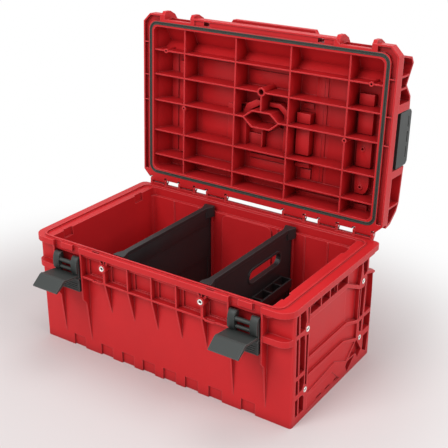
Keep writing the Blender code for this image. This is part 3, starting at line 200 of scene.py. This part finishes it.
def moulded_plastic(name, color, edge_highlight, roughness, gloss):
    """Satin moulded plastic: fine grain, slow flow clouds, a painted highlight on rounded edges, and painted
    shade in hollows.
    """
    material, tree, shader = new_material(name)
    shader.inputs["Specular IOR Level"].default_value = gloss
    place = add_node(tree, "ShaderNodeTexCoord")
    clouds = add_node(tree, "ShaderNodeTexNoise", scale=CLOUD_SCALE, detail=4.0, roughness=0.6)
    shine = add_node(tree, "ShaderNodeMapRange", from_min=CLOUD_SPAN[0], from_max=CLOUD_SPAN[1],
                     to_min=roughness + CLOUD_SHINE[0], to_max=roughness + CLOUD_SHINE[1])
    tone = add_node(tree, "ShaderNodeMapRange", from_min=CLOUD_SPAN[0], from_max=CLOUD_SPAN[1],
                    to_min=CLOUD_TONE[0], to_max=CLOUD_TONE[1])
    grain = add_node(tree, "ShaderNodeTexNoise", scale=GRAIN_SCALE, detail=2.0)
    rounded = add_node(tree, "ShaderNodeBevel", samples=6, radius=EDGE_ROUND)
    bump = add_node(tree, "ShaderNodeBump", strength=GRAIN_STRENGTH, distance=GRAIN_HEIGHT)
    shape = add_node(tree, "ShaderNodeNewGeometry")
    agree = add_node(tree, "ShaderNodeVectorMath", operation="DOT_PRODUCT")
    # Painted highlight: where the rounded normal turns away from the face's normal, the colour is mixed towards
    # the paler edge colour.
    edge = add_node(tree, "ShaderNodeMapRange", from_min=EDGE_BEND[0], from_max=EDGE_BEND[1],
                    to_min=0.0, to_max=EDGE_HIGHLIGHT_SHARE)
    highlight_tint = add_node(tree, "ShaderNodeMix", data_type="RGBA")
    highlight_tint.inputs[MIX_FIRST].default_value = (*color, 1.0)
    highlight_tint.inputs[MIX_SECOND].default_value = (*edge_highlight, 1.0)
    shade = add_node(tree, "ShaderNodeVectorMath", operation="SCALE")
    # Painted shade: the colour is darkened where ambient occlusion finds hollows, pockets and corners.
    hollow_shade = add_node(tree, "ShaderNodeAmbientOcclusion", samples=6, distance=HOLLOW_REACH)
    openness = add_node(tree, "ShaderNodeMapRange", from_min=HOLLOW_OPEN[0], from_max=HOLLOW_OPEN[1],
                        to_min=HOLLOW_PAINTED_SHADE, to_max=1.0)
    both = add_node(tree, "ShaderNodeMath", operation="MULTIPLY")
    link = tree.links.new
    link(place.outputs["Object"], clouds.inputs["Vector"])
    link(place.outputs["Object"], grain.inputs["Vector"])
    link(clouds.outputs["Fac"], shine.inputs["Value"])
    link(clouds.outputs["Fac"], tone.inputs["Value"])
    link(shine.outputs["Result"], shader.inputs["Roughness"])
    link(grain.outputs["Fac"], bump.inputs["Height"])
    link(rounded.outputs["Normal"], bump.inputs["Normal"])
    link(bump.outputs["Normal"], shader.inputs["Normal"])
    link(rounded.outputs["Normal"], agree.inputs[0])
    link(shape.outputs["Normal"], agree.inputs[1])
    link(agree.outputs["Value"], edge.inputs["Value"])
    link(edge.outputs["Result"], highlight_tint.inputs[0])
    link(highlight_tint.outputs[MIX_COLOR], shade.inputs[0])
    link(hollow_shade.outputs["AO"], openness.inputs["Value"])
    link(openness.outputs["Result"], both.inputs[0])
    link(tone.outputs["Result"], both.inputs[1])
    link(both.outputs[0], shade.inputs["Scale"])
    link(shade.outputs["Vector"], shader.inputs["Base Color"])
    return material


def give(material, *names):
    """Put one material on CAD nodes."""
    for name in names:
        mesh = nodes[name].data
        mesh.materials.clear()
        mesh.materials.append(material)


def put(name, mesh, material=None):
    """A new object at the origin that holds a mesh."""
    made = bpy.data.objects.new(name, mesh)
    scene.collection.objects.link(made)
    if material:
        mesh.materials.clear()
        mesh.materials.append(material)
    return made


MM = 0.001
AXES = {"X": (1, 2, 0), "Y": (0, 2, 1), "Z": (0, 1, 2)}
ROD_SIDES = 24


def prism(outline, axis, low, high):
    """A closed solid: an outline in mm pushed along an axis; its points are (y, z), (x, z) or (x, y)."""
    shape = bmesh.new()
    first, second, third = AXES[axis]
    rings = []
    for level in (low, high):
        ring = []
        for a, b in outline:
            point = [0.0, 0.0, 0.0]
            point[first] = a * MM
            point[second] = b * MM
            point[third] = level * MM
            ring.append(shape.verts.new(point))
        rings.append(ring)
    shape.faces.new(rings[0])
    shape.faces.new(rings[1])
    for i in range(len(outline)):
        j = (i + 1) % len(outline)
        shape.faces.new((rings[0][i], rings[0][j], rings[1][j], rings[1][i]))
    bmesh.ops.recalc_face_normals(shape, faces=shape.faces)
    mesh = bpy.data.meshes.new("prism")
    shape.to_mesh(mesh)
    shape.free()
    return put("prism", mesh)


def rectangle(x, y):
    """The four corners between pairs of limits in mm."""
    return [(x[0], y[0]), (x[1], y[0]), (x[1], y[1]), (x[0], y[1])]


def block(x, y, z):
    """A closed block between pairs of limits in mm."""
    return prism(rectangle(x, y), "Z", z[0], z[1])


def arc(centre, radius, start_deg, end_deg, steps):
    """Points on an arc, both ends included."""
    angles = [math.radians(start_deg + (end_deg - start_deg) * i / steps) for i in range(steps + 1)]
    return [(centre[0] + radius * math.cos(a), centre[1] + radius * math.sin(a)) for a in angles]


def rod(axis, low, high, across, radius):
    """A round bar along an axis, in mm."""
    steps = ROD_SIDES - 1
    return prism(arc(across, radius, 0, 360 * steps / ROD_SIDES, steps), axis, low, high)


def flat_mesh(piece):
    """The plain mesh of an object with its modifiers applied."""
    bpy.context.view_layer.update()
    return bpy.data.meshes.new_from_object(piece.evaluated_get(bpy.context.evaluated_depsgraph_get()))


BEVEL_FROM = math.radians(40)
SHARP_FROM = math.radians(35)


def fit(name, main, adds, cuts, material, bevel=0.0, turn=None, smooth=True):
    """Unite a solid with others, cut it, soften its edges, and leave one plain mesh."""
    for operation, others in (("UNION", adds), ("DIFFERENCE", cuts)):
        if not others:
            continue
        group = bpy.data.collections.new(name + "_" + operation.lower())
        for other in others:
            group.objects.link(other)
        step = main.modifiers.new(operation.lower(), "BOOLEAN")
        step.operation = operation
        step.operand_type = "COLLECTION"
        step.collection = group
        step.solver = "EXACT"
    if bevel:
        soft = main.modifiers.new("soft_edges", "BEVEL")
        soft.width = bevel * MM
        soft.segments = 2
        soft.limit_method = "ANGLE"
        soft.angle_limit = BEVEL_FROM
    mesh = flat_mesh(main)
    for other in [main, *adds, *cuts]:
        bpy.data.objects.remove(other)
    if turn:
        mesh.transform(turn)
    mesh.shade_flat()
    if smooth:
        mesh.shade_smooth()
        mesh.set_sharp_from_angle(angle=SHARP_FROM)
    return put(name, mesh, material)


SAME_PLACE = 0.000001


def copy_of(node):
    """A merged copy of a CAD node's mesh."""
    shape = bmesh.new()
    shape.from_mesh(nodes[node].data)
    bmesh.ops.remove_doubles(shape, verts=shape.verts, dist=SAME_PLACE)
    mesh = bpy.data.meshes.new(node + "_copy")
    shape.to_mesh(mesh)
    shape.free()
    return put(node + "_copy", mesh)


def stand_for(piece, body, slot, *names):
    """Ride on a body and stand for CAD nodes; the slot argument is not used."""
    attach(piece, body)
    if names:
        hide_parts(*names)


red_plastic = moulded_plastic("red_plastic", RED, RED_EDGE_HIGHLIGHT, RED_ROUGHNESS, RED_GLOSS)
give(red_plastic, "base_shell", "lid_shell")

# The ends of the base: wider pockets lie between the thin ribs, and a thin panel closes the foot
# of each end, with three drain slots through it. Outlines are (y, z) on the end's face.
END_X = 291.5
DEEP = 12.0
SHALLOW = 8.5
PAST_FACE = -6.0
TOP_CELL_Z = (206.0, 223.0)
TOP_CELLS_Y = ((-101.0, -64.0), (-61.0, -31.0), (-28.0, -4.0), (-1.0, 39.0))
END_POCKETS = (
    (SHALLOW, [(42.0, 223.0), (99.5, 223.0), (97.0, 192.0), (92.0, 179.0), (42.0, 203.0)]),
    (SHALLOW, [(-109.5, 223.0), (-104.0, 223.0), (-104.0, 190.0), (-106.0, 190.0)]),
    (SHALLOW, [(-111.0, 170.0), (-104.0, 170.0), (-104.0, 66.0), (-110.0, 70.0)]),
    (SHALLOW, [(46.0, 193.0), (92.0, 171.0), (92.0, 104.5), (49.0, 119.5), (44.0, 150.0)]),
    (SHALLOW, [(94.5, 172.0), (99.0, 168.0), (98.5, 104.0), (94.5, 104.0)]),
    (DEEP, [(58.0, 28.0), (90.0, 28.0), (60.0, 4.0), (52.0, 20.0)]),
    (SHALLOW, [(94.0, 60.0), (100.0, 52.0), (118.0, 27.0), (104.0, 14.0), (94.0, 29.0), (64.0, 31.5)]),
)
FOOT_PANEL = [(-101.0, 39.0), (-3.0, 39.0), (30.0, 7.0), (-101.0, 7.0)]
FOOT_PANEL_DEPTHS = (18.0, 1.6)
SLOT_DEPTHS = (12.0, -2.0)
SLOT_Z = (10.0, 14.2)
SLOTS_Y = ((-61.0, -42.0), (-27.0, -8.0), (8.0, 22.0))


def end_span(side, depths):
    """X limits of a form that lies between two depths behind one end's face."""
    return sorted(side * (END_X - depth) for depth in depths)


def foot_panel(side):
    """The panel at the foot of one end."""
    return prism(FOOT_PANEL, "X", *end_span(side, FOOT_PANEL_DEPTHS))


def end_recesses(side):
    """The pockets between the ribs of one end."""
    top_cells = [(DEEP, rectangle(span, TOP_CELL_Z)) for span in TOP_CELLS_Y]
    made = []
    for depth, outline in [*top_cells, *END_POCKETS]:
        made.append(prism(outline, "X", *end_span(side, (depth, PAST_FACE))))
    return made


def foot_slots(side):
    """The three drain slots of one end."""
    return [block(end_span(side, SLOT_DEPTHS), span, SLOT_Z) for span in SLOTS_Y]


base = fit("base_ends", copy_of("base_shell"), [foot_panel(1), foot_panel(-1)], [], red_plastic, smooth=False)
end_cuts = end_recesses(1) + end_recesses(-1) + foot_slots(1) + foot_slots(-1)
base = fit("base_moulding", base, [], end_cuts, red_plastic, smooth=False)
stand_for(base, "base", "red_plastic", "base_shell")

# Hinge seats: a ledge along the back rim and a low block under each lid leaf, all of the same
# moulding, so that light shows only between the leaves. Outlines are (y, z).
LEDGE = [(175.0, 230.0), (181.0, 232.0), (183.5, 235.0), (183.5, 238.4), (175.0, 238.4)]
LEDGE_HALF_X = 268.6
LEAF_SPANS = ((74.0, 117.0), (157.0, 192.0), (235.0, LEDGE_HALF_X))
SEAT = [(174.0, 235.0), (180.0, 232.0), (183.0, 236.0), (182.5, 240.2), (174.0, 240.2)]
SEAT_INSET = 0.3
SEAT_BEVEL = 0.4

seats = [prism(LEDGE, "X", -LEDGE_HALF_X, LEDGE_HALF_X)]
for low, high in LEAF_SPANS:
    seats.append(prism(SEAT, "X", low + SEAT_INSET, high - SEAT_INSET))
    seats.append(prism(SEAT, "X", SEAT_INSET - high, -low - SEAT_INSET))
hinge_seats = fit("hinge_seats", seats[0], seats[1:], [], red_plastic, bevel=SEAT_BEVEL)
stand_for(hinge_seats, "base", "red_plastic")

# The lid's inside: the same red moulding as the base, a deep pan that carries ribs, raised pads
# and a long ramp. The added forms are drawn with the lid shut and then turned open on its hinge.
CEILING_T = 52.0
PAD_ROOT_T = CEILING_T + 1.5
PAD_BEVEL = 0.8
HINGE_SIDE = 177.3
RIM_Z = 240.5
HINGE = Vector((0.0, 0.181, 0.246))
OPEN_TURN = math.radians(-92.5)
LID_OPEN = Matrix.Translation(HINGE) @ Matrix.Rotation(OPEN_TURN, 4, "X") @ Matrix.Translation(-HINGE)


def lid_prism(outline, low_t, high_t):
    """A prism on the lid: points are (x, distance from the hinge side), and t is the depth from the rim."""
    return prism([(x, HINGE_SIDE - along) for x, along in outline], "Z", RIM_Z + low_t, RIM_Z + high_t)


# Flat pads: the two pairs of limits between the ribs, and the depth of the pad's face.
PADS = (((-251.0, -235.0), (60.0, 283.0), 50.0), ((-226.0, -214.0), (60.0, 263.0), 44.0),
        ((-171.0, -66.0), (60.0, 273.0), 50.4), ((-99.0, -78.0), (106.0, 190.0), 44.0),
        ((-53.0, 44.0), (240.0, 268.0), 49.8), ((-42.0, 52.0), (84.0, 92.0), 46.0),
        ((-44.0, 50.0), (60.0, 80.0), 50.0), ((-58.5, -45.0), (113.0, 199.0), 31.0),
        ((45.0, 58.5), (113.0, 192.0), 31.0), ((-7.5, -4.5), (113.0, 150.0), 31.0),
        ((78.0, 101.0), (208.0, 219.0), 49.0), ((105.0, 130.0), (60.0, 283.0), 50.2),
        ((111.0, 123.0), (60.0, 283.0), 49.2), ((74.0, 104.0), (181.0, 201.0), 31.0),
        ((74.0, 104.0), (116.0, 172.0), 31.0), ((73.0, 104.0), (88.0, 97.0), 37.0),
        ((81.0, 104.0), (62.0, 82.0), 47.0), ((72.0, 180.0), (24.0, 33.0), 48.5),
        ((203.0, 234.0), (237.0, 259.0), 39.0), ((204.0, 235.0), (181.0, 233.0), 39.0),
        ((206.0, 237.0), (115.0, 176.0), 39.0), ((207.0, 235.0), (23.0, 35.0), 46.0),
        ((136.0, 186.0), (60.0, 283.0), 51.0))
# Shaped pads: the ridges round the hexagon, the two panels below it, and the tapered end pad.
SHAPED_PADS = (
    ([(-59.0, 199.0), (-45.0, 200.0), (-22.0, 212.0), (-11.0, 210.0), (-11.0, 203.0), (-34.0, 190.0),
      (-46.0, 176.0), (-59.0, 172.0)], 31.0),
    ([(9.0, 211.0), (34.0, 211.0), (44.0, 205.0), (58.5, 194.0), (58.5, 184.0), (47.0, 188.0),
      (31.0, 202.0), (9.0, 202.0)], 31.0),
    ([(-50.0, 105.0), (-16.0, 105.0), (-16.0, 136.0), (-50.0, 136.0)], 46.0),
    ([(-4.0, 105.0), (43.0, 105.0), (41.0, 155.0), (26.0, 159.0), (13.0, 149.0), (-4.0, 141.0)], 46.0),
    ([(206.0, 110.0), (237.0, 110.0), (237.0, 76.0), (232.0, 63.0), (226.0, 59.0), (208.0, 60.0)], 39.0),
)
# The ramp rises into each of the front cells, and its ends lean in with the lid's end walls.
# Its section is (distance from the hinge side, depth), and each end's cut is (x, depth).
RAMP = ((287.0, 31.0), (304.5, 48.5), (296.0, 53.0), (287.0, 53.0))
RAMP_HALF_X = 258.0
RAMP_END = ((260.9, 29.0), (251.7, 52.0), (251.7, 60.0), (280.0, 60.0), (280.0, 29.0))
RAMP_END_ALONG = (320.0, 284.0)
# Two bosses stand on the end pads, each with a screw bore.
BOSSES = ((219.0, 151.0), (220.0, 73.0))
BOSS_RADIUS = 5.0
BOSS_T = (36.5, 41.0)
BORE_RADIUS = 2.6
BORE_T = (36.0, 47.0)

pads = [lid_prism(rectangle(x, along), low_t, PAD_ROOT_T) for x, along, low_t in PADS]
pads += [lid_prism(outline, low_t, PAD_ROOT_T) for outline, low_t in SHAPED_PADS]
pads.append(prism([(HINGE_SIDE - along, RIM_Z + t) for along, t in RAMP], "X", -RAMP_HALF_X, RAMP_HALF_X))
pad_cuts = []
for side in (-1, 1):
    leaning = [(side * x, RIM_Z + t) for x, t in RAMP_END]
    pad_cuts.append(prism(leaning, "Y", HINGE_SIDE - RAMP_END_ALONG[0], HINGE_SIDE - RAMP_END_ALONG[1]))
for x, along in BOSSES:
    middle = (x, HINGE_SIDE - along)
    pads.append(rod("Z", RIM_Z + BOSS_T[0], RIM_Z + BOSS_T[1], middle, BOSS_RADIUS))
    pad_cuts.append(rod("Z", RIM_Z + BORE_T[0], RIM_Z + BORE_T[1], middle, BORE_RADIUS))
lid_pads = fit("lid_pads", pads[0], pads[1:], pad_cuts, red_plastic, bevel=PAD_BEVEL, turn=LID_OPEN)
stand_for(lid_pads, "lid", "red_plastic")

# The seal: a soft extruded rubber ring pressed into a channel in the lid's rim.
# Two lips run along it with a light-catching groove between them.
SEAL_HALF_X = 272.0
SEAL_Y = (-166.7, 160.3)
SEAL_CORNER = 16.0
SEAL_CORNER_STEPS = 8
SEAL_PROFILE = [(-2.4, -5.8), (-2.4, -0.4), (-3.6, -0.4), (-3.6, 0.0), (-3.0, 0.3), (-1.6, 0.3), (-0.9, -1.4),
                (0.9, -1.4), (1.6, 0.3), (3.0, 0.3), (3.6, 0.0), (3.6, -0.4), (2.4, -0.4), (2.4, -5.8)]
RUBBER = (0.036, 0.042, 0.036)
# The paler green-grey below is a painted highlight on the seal's rounded edges.
RUBBER_EDGE_HIGHLIGHT = (0.16, 0.18, 0.15)
RUBBER_ROUGHNESS = 0.55
RUBBER_GLOSS = 0.3
SWEEP_SAME_PLACE = 0.00001


def closed_curve(name, points):
    """A closed poly curve through points in mm."""
    data = bpy.data.curves.new(name, "CURVE")
    data.dimensions = "3D"
    spline = data.splines.new("POLY")
    spline.points.add(len(points) - 1)
    for place, point in zip(spline.points, points):
        place.co = (*[value * MM for value in point], 1.0)
    spline.use_cyclic_u = True
    made = bpy.data.objects.new(name, data)
    scene.collection.objects.link(made)
    return made


def seal_path():
    """The middle line of the seal: a rectangle with round corners."""
    points = []
    inner_x = SEAL_HALF_X - SEAL_CORNER
    front_y = SEAL_Y[0] + SEAL_CORNER
    back_y = SEAL_Y[1] - SEAL_CORNER
    corners = ((inner_x, front_y, -90.0), (inner_x, back_y, 0.0),
               (-inner_x, back_y, 90.0), (-inner_x, front_y, 180.0))
    for x, y, start in corners:
        bend = arc((x, y), SEAL_CORNER, start, start + 90.0, SEAL_CORNER_STEPS)
        points += [(a, b, RIM_Z) for a, b in bend]
    return points


def new_tree(name, *sockets):
    """A geometry node tree with a geometry in and out, a finish, and more named inputs."""
    tree = bpy.data.node_groups.new(name, "GeometryNodeTree")
    tree.interface.new_socket("Geometry", in_out="INPUT", socket_type="NodeSocketGeometry")
    for title, kind in [*sockets, ("Finish", "NodeSocketMaterial")]:
        tree.interface.new_socket(title, in_out="INPUT", socket_type=kind)
    tree.interface.new_socket("Geometry", in_out="OUTPUT", socket_type="NodeSocketGeometry")
    return tree, tree.nodes.new("NodeGroupInput")


def end_tree(tree, given, shape):
    """End a tree: instances made real, one material on them, and the way out."""
    real = tree.nodes.new("GeometryNodeRealizeInstances")
    finish = tree.nodes.new("GeometryNodeSetMaterial")
    out = tree.nodes.new("NodeGroupOutput")
    tree.links.new(shape, real.inputs["Geometry"])
    tree.links.new(real.outputs["Geometry"], finish.inputs["Geometry"])
    tree.links.new(given.outputs["Finish"], finish.inputs["Material"])
    tree.links.new(finish.outputs["Geometry"], out.inputs["Geometry"])


def run_tree(piece, tree, **values):
    """Run a node tree on an object and return the plain mesh."""
    step = piece.modifiers.new("shape", "NODES")
    step.node_group = tree
    for item in tree.interface.items_tree:
        if item.in_out == "INPUT" and item.name in values:
            step[item.identifier] = values[item.name]
    mesh = flat_mesh(piece)
    for thing in [value for value in values.values() if isinstance(value, bpy.types.Object)]:
        bpy.data.objects.remove(thing)
    bpy.data.objects.remove(piece)
    return mesh


swept, given = new_tree("swept_section", ("Section", "NodeSocketObject"))
section = swept.nodes.new("GeometryNodeObjectInfo")
sweep = swept.nodes.new("GeometryNodeCurveToMesh")
swept.links.new(given.outputs["Section"], section.inputs["Object"])
swept.links.new(given.outputs["Geometry"], sweep.inputs["Curve"])
swept.links.new(section.outputs["Geometry"], sweep.inputs["Profile Curve"])
end_tree(swept, given, sweep.outputs["Mesh"])


def merged_smooth(mesh):
    """The same mesh with merged doubles, faces that point outwards, and smooth bends."""
    shape = bmesh.new()
    shape.from_mesh(mesh)
    bmesh.ops.remove_doubles(shape, verts=shape.verts, dist=SWEEP_SAME_PLACE)
    bmesh.ops.recalc_face_normals(shape, faces=shape.faces)
    shape.to_mesh(mesh)
    shape.free()
    mesh.shade_smooth()
    mesh.set_sharp_from_angle(angle=SHARP_FROM)
    return mesh


seal_rubber = moulded_plastic("seal_rubber", RUBBER, RUBBER_EDGE_HIGHLIGHT, RUBBER_ROUGHNESS, RUBBER_GLOSS)
seal_section = closed_curve("seal_section", [(a, b, 0.0) for a, b in SEAL_PROFILE])
seal_line = closed_curve("seal_path", seal_path())
seal_mesh = run_tree(seal_line, swept, Section=seal_section, Finish=seal_rubber)
seal_mesh.transform(LID_OPEN)
seal = put("seal_ring", merged_smooth(seal_mesh))
stand_for(seal, "lid", "seal_rubber", "lid_seal")

# The two side grips: carrying bars moulded in charcoal nylon, each held between two pods of the
# lid by steel pins.
CHARCOAL = (0.040, 0.045, 0.043)
# The paler grey below is a painted highlight on the rounded edges.
CHARCOAL_EDGE_HIGHLIGHT = (0.20, 0.205, 0.20)
CHARCOAL_ROUGHNESS = 0.44
CHARCOAL_GLOSS = 0.28

charcoal = moulded_plastic("charcoal_nylon", CHARCOAL, CHARCOAL_EDGE_HIGHLIGHT, CHARCOAL_ROUGHNESS, CHARCOAL_GLOSS)
give(charcoal, "side_grip_left", "side_grip_right")

# The pins: short turned steel rods, pressed through the hinge leaves, the grips and the levers.
# Fine turning marks vary their gloss.
STEEL = (0.80, 0.80, 0.79)
STEEL_SCRATCHES = 900.0
STEEL_SHINE = (0.20, 0.38)


def scratched_metal(name, metallic, scratches, shine_span):
    """A metal whose gloss varies with fine scratches, its tree and its shader."""
    material, tree, shader = new_material(name)
    shader.inputs["Metallic"].default_value = metallic
    place = add_node(tree, "ShaderNodeTexCoord")
    scratch = add_node(tree, "ShaderNodeTexNoise", scale=scratches, detail=3.0)
    shine = add_node(tree, "ShaderNodeMapRange", to_min=shine_span[0], to_max=shine_span[1])
    tree.links.new(place.outputs["Object"], scratch.inputs["Vector"])
    tree.links.new(scratch.outputs["Fac"], shine.inputs["Value"])
    tree.links.new(shine.outputs["Result"], shader.inputs["Roughness"])
    return material, tree, shader


steel, _, steel_shader = scratched_metal("turned_steel", 1.0, STEEL_SCRATCHES, STEEL_SHINE)
steel_shader.inputs["Base Color"].default_value = (*STEEL, 1.0)
give(steel, *[name for name in nodes if name.startswith(("grip_pin", "hinge_pin", "latch_pivot_pin"))])

# The latches: a sliding frame and a hinged lever each, in the same charcoal nylon.
# The frame's two ears are thick rounded cheeks in front of its cross bars, with (y, z) outlines.
LATCH_X = 203.8
EAR_X = (15.4, 30.3)
CHEEK = [(-174.0, 181.4), (-180.6, 181.4), (-182.0, 184.0), (-182.6, 192.0), (-182.4, 200.0),
         (-181.2, 207.0), (-179.0, 212.0), (-176.2, 215.2), (-174.0, 216.0)]
CHEEK_BEVEL = 1.4

for side, sign in (("left", -1.0), ("right", 1.0)):
    give(charcoal, "latch_frame_" + side, "latch_lever_" + side)
    cheeks = []
    for way in (-1.0, 1.0):
        span = sorted(sign * LATCH_X + way * reach for reach in EAR_X)
        cheeks.append(prism(CHEEK, "X", *span))
    ears = fit("latch_cheeks_" + side, cheeks[0], cheeks[1:], [], charcoal, bevel=CHEEK_BEVEL)
    stand_for(ears, "latch_" + side, "dark_plastic")

# The inserts: turned and plated bushes pressed into the moulding, each with a threaded bore.
# Two sit on the front and four on each end, flush with the faces they serve. The profile and
# the thread's crest and root are (distance along the bush, radius).
BUSH_PROFILE = [(-9.6, 0.0), (-9.6, 5.4), (0.2, 5.4), (0.7, 5.0), (0.7, 3.7), (0.2, 3.2)]
BUSH_SIDES = 28
BUSH_SHARP_FROM = math.radians(30)
THREAD_PITCH = 0.9
THREAD_TURNS = 8
THREAD_CREST = (0.1, 2.7)
THREAD_ROOT = (0.55, 3.1)
FRONT_FACE = -177.0
FRONT_BUSHES_X = (-113.5, 113.5)
FRONT_BUSH_Z = 209.3
END_BUSHES_Y = (-108.0, 108.0)
END_BUSHES_Z = (58.1, 181.4)

bush_outline = list(BUSH_PROFILE)
for turn in range(THREAD_TURNS):
    for depth, radius in (THREAD_CREST, THREAD_ROOT):
        bush_outline.append((-turn * THREAD_PITCH - depth, radius))
bore_end = -THREAD_TURNS * THREAD_PITCH - THREAD_CREST[0]
bush_outline += [(bore_end, THREAD_CREST[1]), (bore_end, 0.0)]


def lathe(name, outline, sides):
    """A closed body turned about the X axis; the outline's first and last points lie on it."""
    shape = bmesh.new()
    angles = [2 * math.pi * i / sides for i in range(sides)]
    rings = []
    for x, radius in outline:
        ring = [(x * MM, radius * MM * math.cos(a), radius * MM * math.sin(a)) for a in angles]
        if radius == 0.0:
            ring = [(x * MM, 0.0, 0.0)]
        rings.append([shape.verts.new(point) for point in ring])
    for first, second in zip(rings, rings[1:]):
        for i in range(sides):
            j = (i + 1) % sides
            corners = [first[i % len(first)], first[j % len(first)],
                       second[j % len(second)], second[i % len(second)]]
            shape.faces.new(list(dict.fromkeys(corners)))
    bmesh.ops.recalc_face_normals(shape, faces=shape.faces)
    mesh = bpy.data.meshes.new(name)
    shape.to_mesh(mesh)
    shape.free()
    mesh.shade_smooth()
    mesh.set_sharp_from_angle(angle=BUSH_SHARP_FROM)
    return put(name, mesh)


spots, given = new_tree("bushes_on_points", ("Bush", "NodeSocketObject"), ("Turn", "NodeSocketFloat"))
bush_info = spots.nodes.new("GeometryNodeObjectInfo")
to_points = spots.nodes.new("GeometryNodeMeshToPoints")
place_on = spots.nodes.new("GeometryNodeInstanceOnPoints")
turn_xyz = spots.nodes.new("ShaderNodeCombineXYZ")
link = spots.links.new
link(given.outputs["Bush"], bush_info.inputs["Object"])
link(given.outputs["Turn"], turn_xyz.inputs["Z"])
link(given.outputs["Geometry"], to_points.inputs["Mesh"])
link(to_points.outputs["Points"], place_on.inputs["Points"])
link(bush_info.outputs["Geometry"], place_on.inputs["Instance"])
link(turn_xyz.outputs["Vector"], place_on.inputs["Rotation"])
end_tree(spots, given, place_on.outputs["Instances"])

# Bright plate, with painted shade that darkens it inside the bore, where little light gets in.
PLATE = (0.93, 0.90, 0.86)
PLATE_METALLIC = 0.55
PLATE_SCRATCHES = 700.0
PLATE_SHINE = (0.24, 0.42)
BORE_PAINTED_SHADE = (0.02, 0.02, 0.02)
BORE_REACH = 0.006
BORE_OPEN = (0.35, 0.75)

plated, plate_tree, plate_shader = scratched_metal("plated_brass", PLATE_METALLIC, PLATE_SCRATCHES, PLATE_SHINE)
plate_bore_shade = add_node(plate_tree, "ShaderNodeAmbientOcclusion", samples=8, distance=BORE_REACH)
plate_open = add_node(plate_tree, "ShaderNodeMapRange", from_min=BORE_OPEN[0], from_max=BORE_OPEN[1])
plate_tint = add_node(plate_tree, "ShaderNodeMix", data_type="RGBA")
plate_tint.inputs[MIX_FIRST].default_value = (*BORE_PAINTED_SHADE, 1.0)
plate_tint.inputs[MIX_SECOND].default_value = (*PLATE, 1.0)
plate_tree.links.new(plate_bore_shade.outputs["AO"], plate_open.inputs["Value"])
plate_tree.links.new(plate_open.outputs["Result"], plate_tint.inputs[0])
plate_tree.links.new(plate_tint.outputs[MIX_COLOR], plate_shader.inputs["Base Color"])

end_places = [(y, z) for y in END_BUSHES_Y for z in END_BUSHES_Z]
BUSHES = {"front": ([(x, FRONT_FACE, FRONT_BUSH_Z) for x in FRONT_BUSHES_X], -90.0),
          "left": ([(-END_X, y, z) for y, z in end_places], 180.0),
          "right": ([(END_X, y, z) for y, z in end_places], 0.0)}
for group, (places, turn) in BUSHES.items():
    bush = lathe("bush", bush_outline, BUSH_SIDES)
    dots = bpy.data.meshes.new("dots")
    dots.from_pydata([[value * MM for value in spot] for spot in places], [], [])
    mesh = run_tree(put("dots", dots), spots, Bush=bush, Turn=math.radians(turn), Finish=plated)
    inserts = put("threaded_inserts_" + group, mesh)
    stand_for(inserts, "base", "steel", *[name for name in nodes if name.startswith("insert_" + group)])

# The two dividers and the tool rack: panels and loops moulded in near-black nylon. The dividers
# slide into guides in the tub, and a stiffening band runs below the left one's top edge.
BLACK = (0.020, 0.018, 0.019)
# The paler grey below is a painted highlight on the rounded edges.
BLACK_EDGE_HIGHLIGHT = (0.12, 0.11, 0.11)
BLACK_ROUGHNESS = 0.46
BLACK_GLOSS = 0.35
DIVIDER_X = -93.0
BAND_HALF_X = 4.6
BAND_Y = (-137.0, 137.0)
BAND_Z = (192.0, 226.0)
BAND_BEVEL = 0.7

black = moulded_plastic("black_nylon", BLACK, BLACK_EDGE_HIGHLIGHT, BLACK_ROUGHNESS, BLACK_GLOSS)
give(black, "divider_left", "divider_right", "tool_rack")
band = block((DIVIDER_X - BAND_HALF_X, DIVIDER_X + BAND_HALF_X), BAND_Y, BAND_Z)
bands = fit("divider_bands", band, [], [], black, bevel=BAND_BEVEL)
stand_for(bands, "divider_left", "black_plastic")
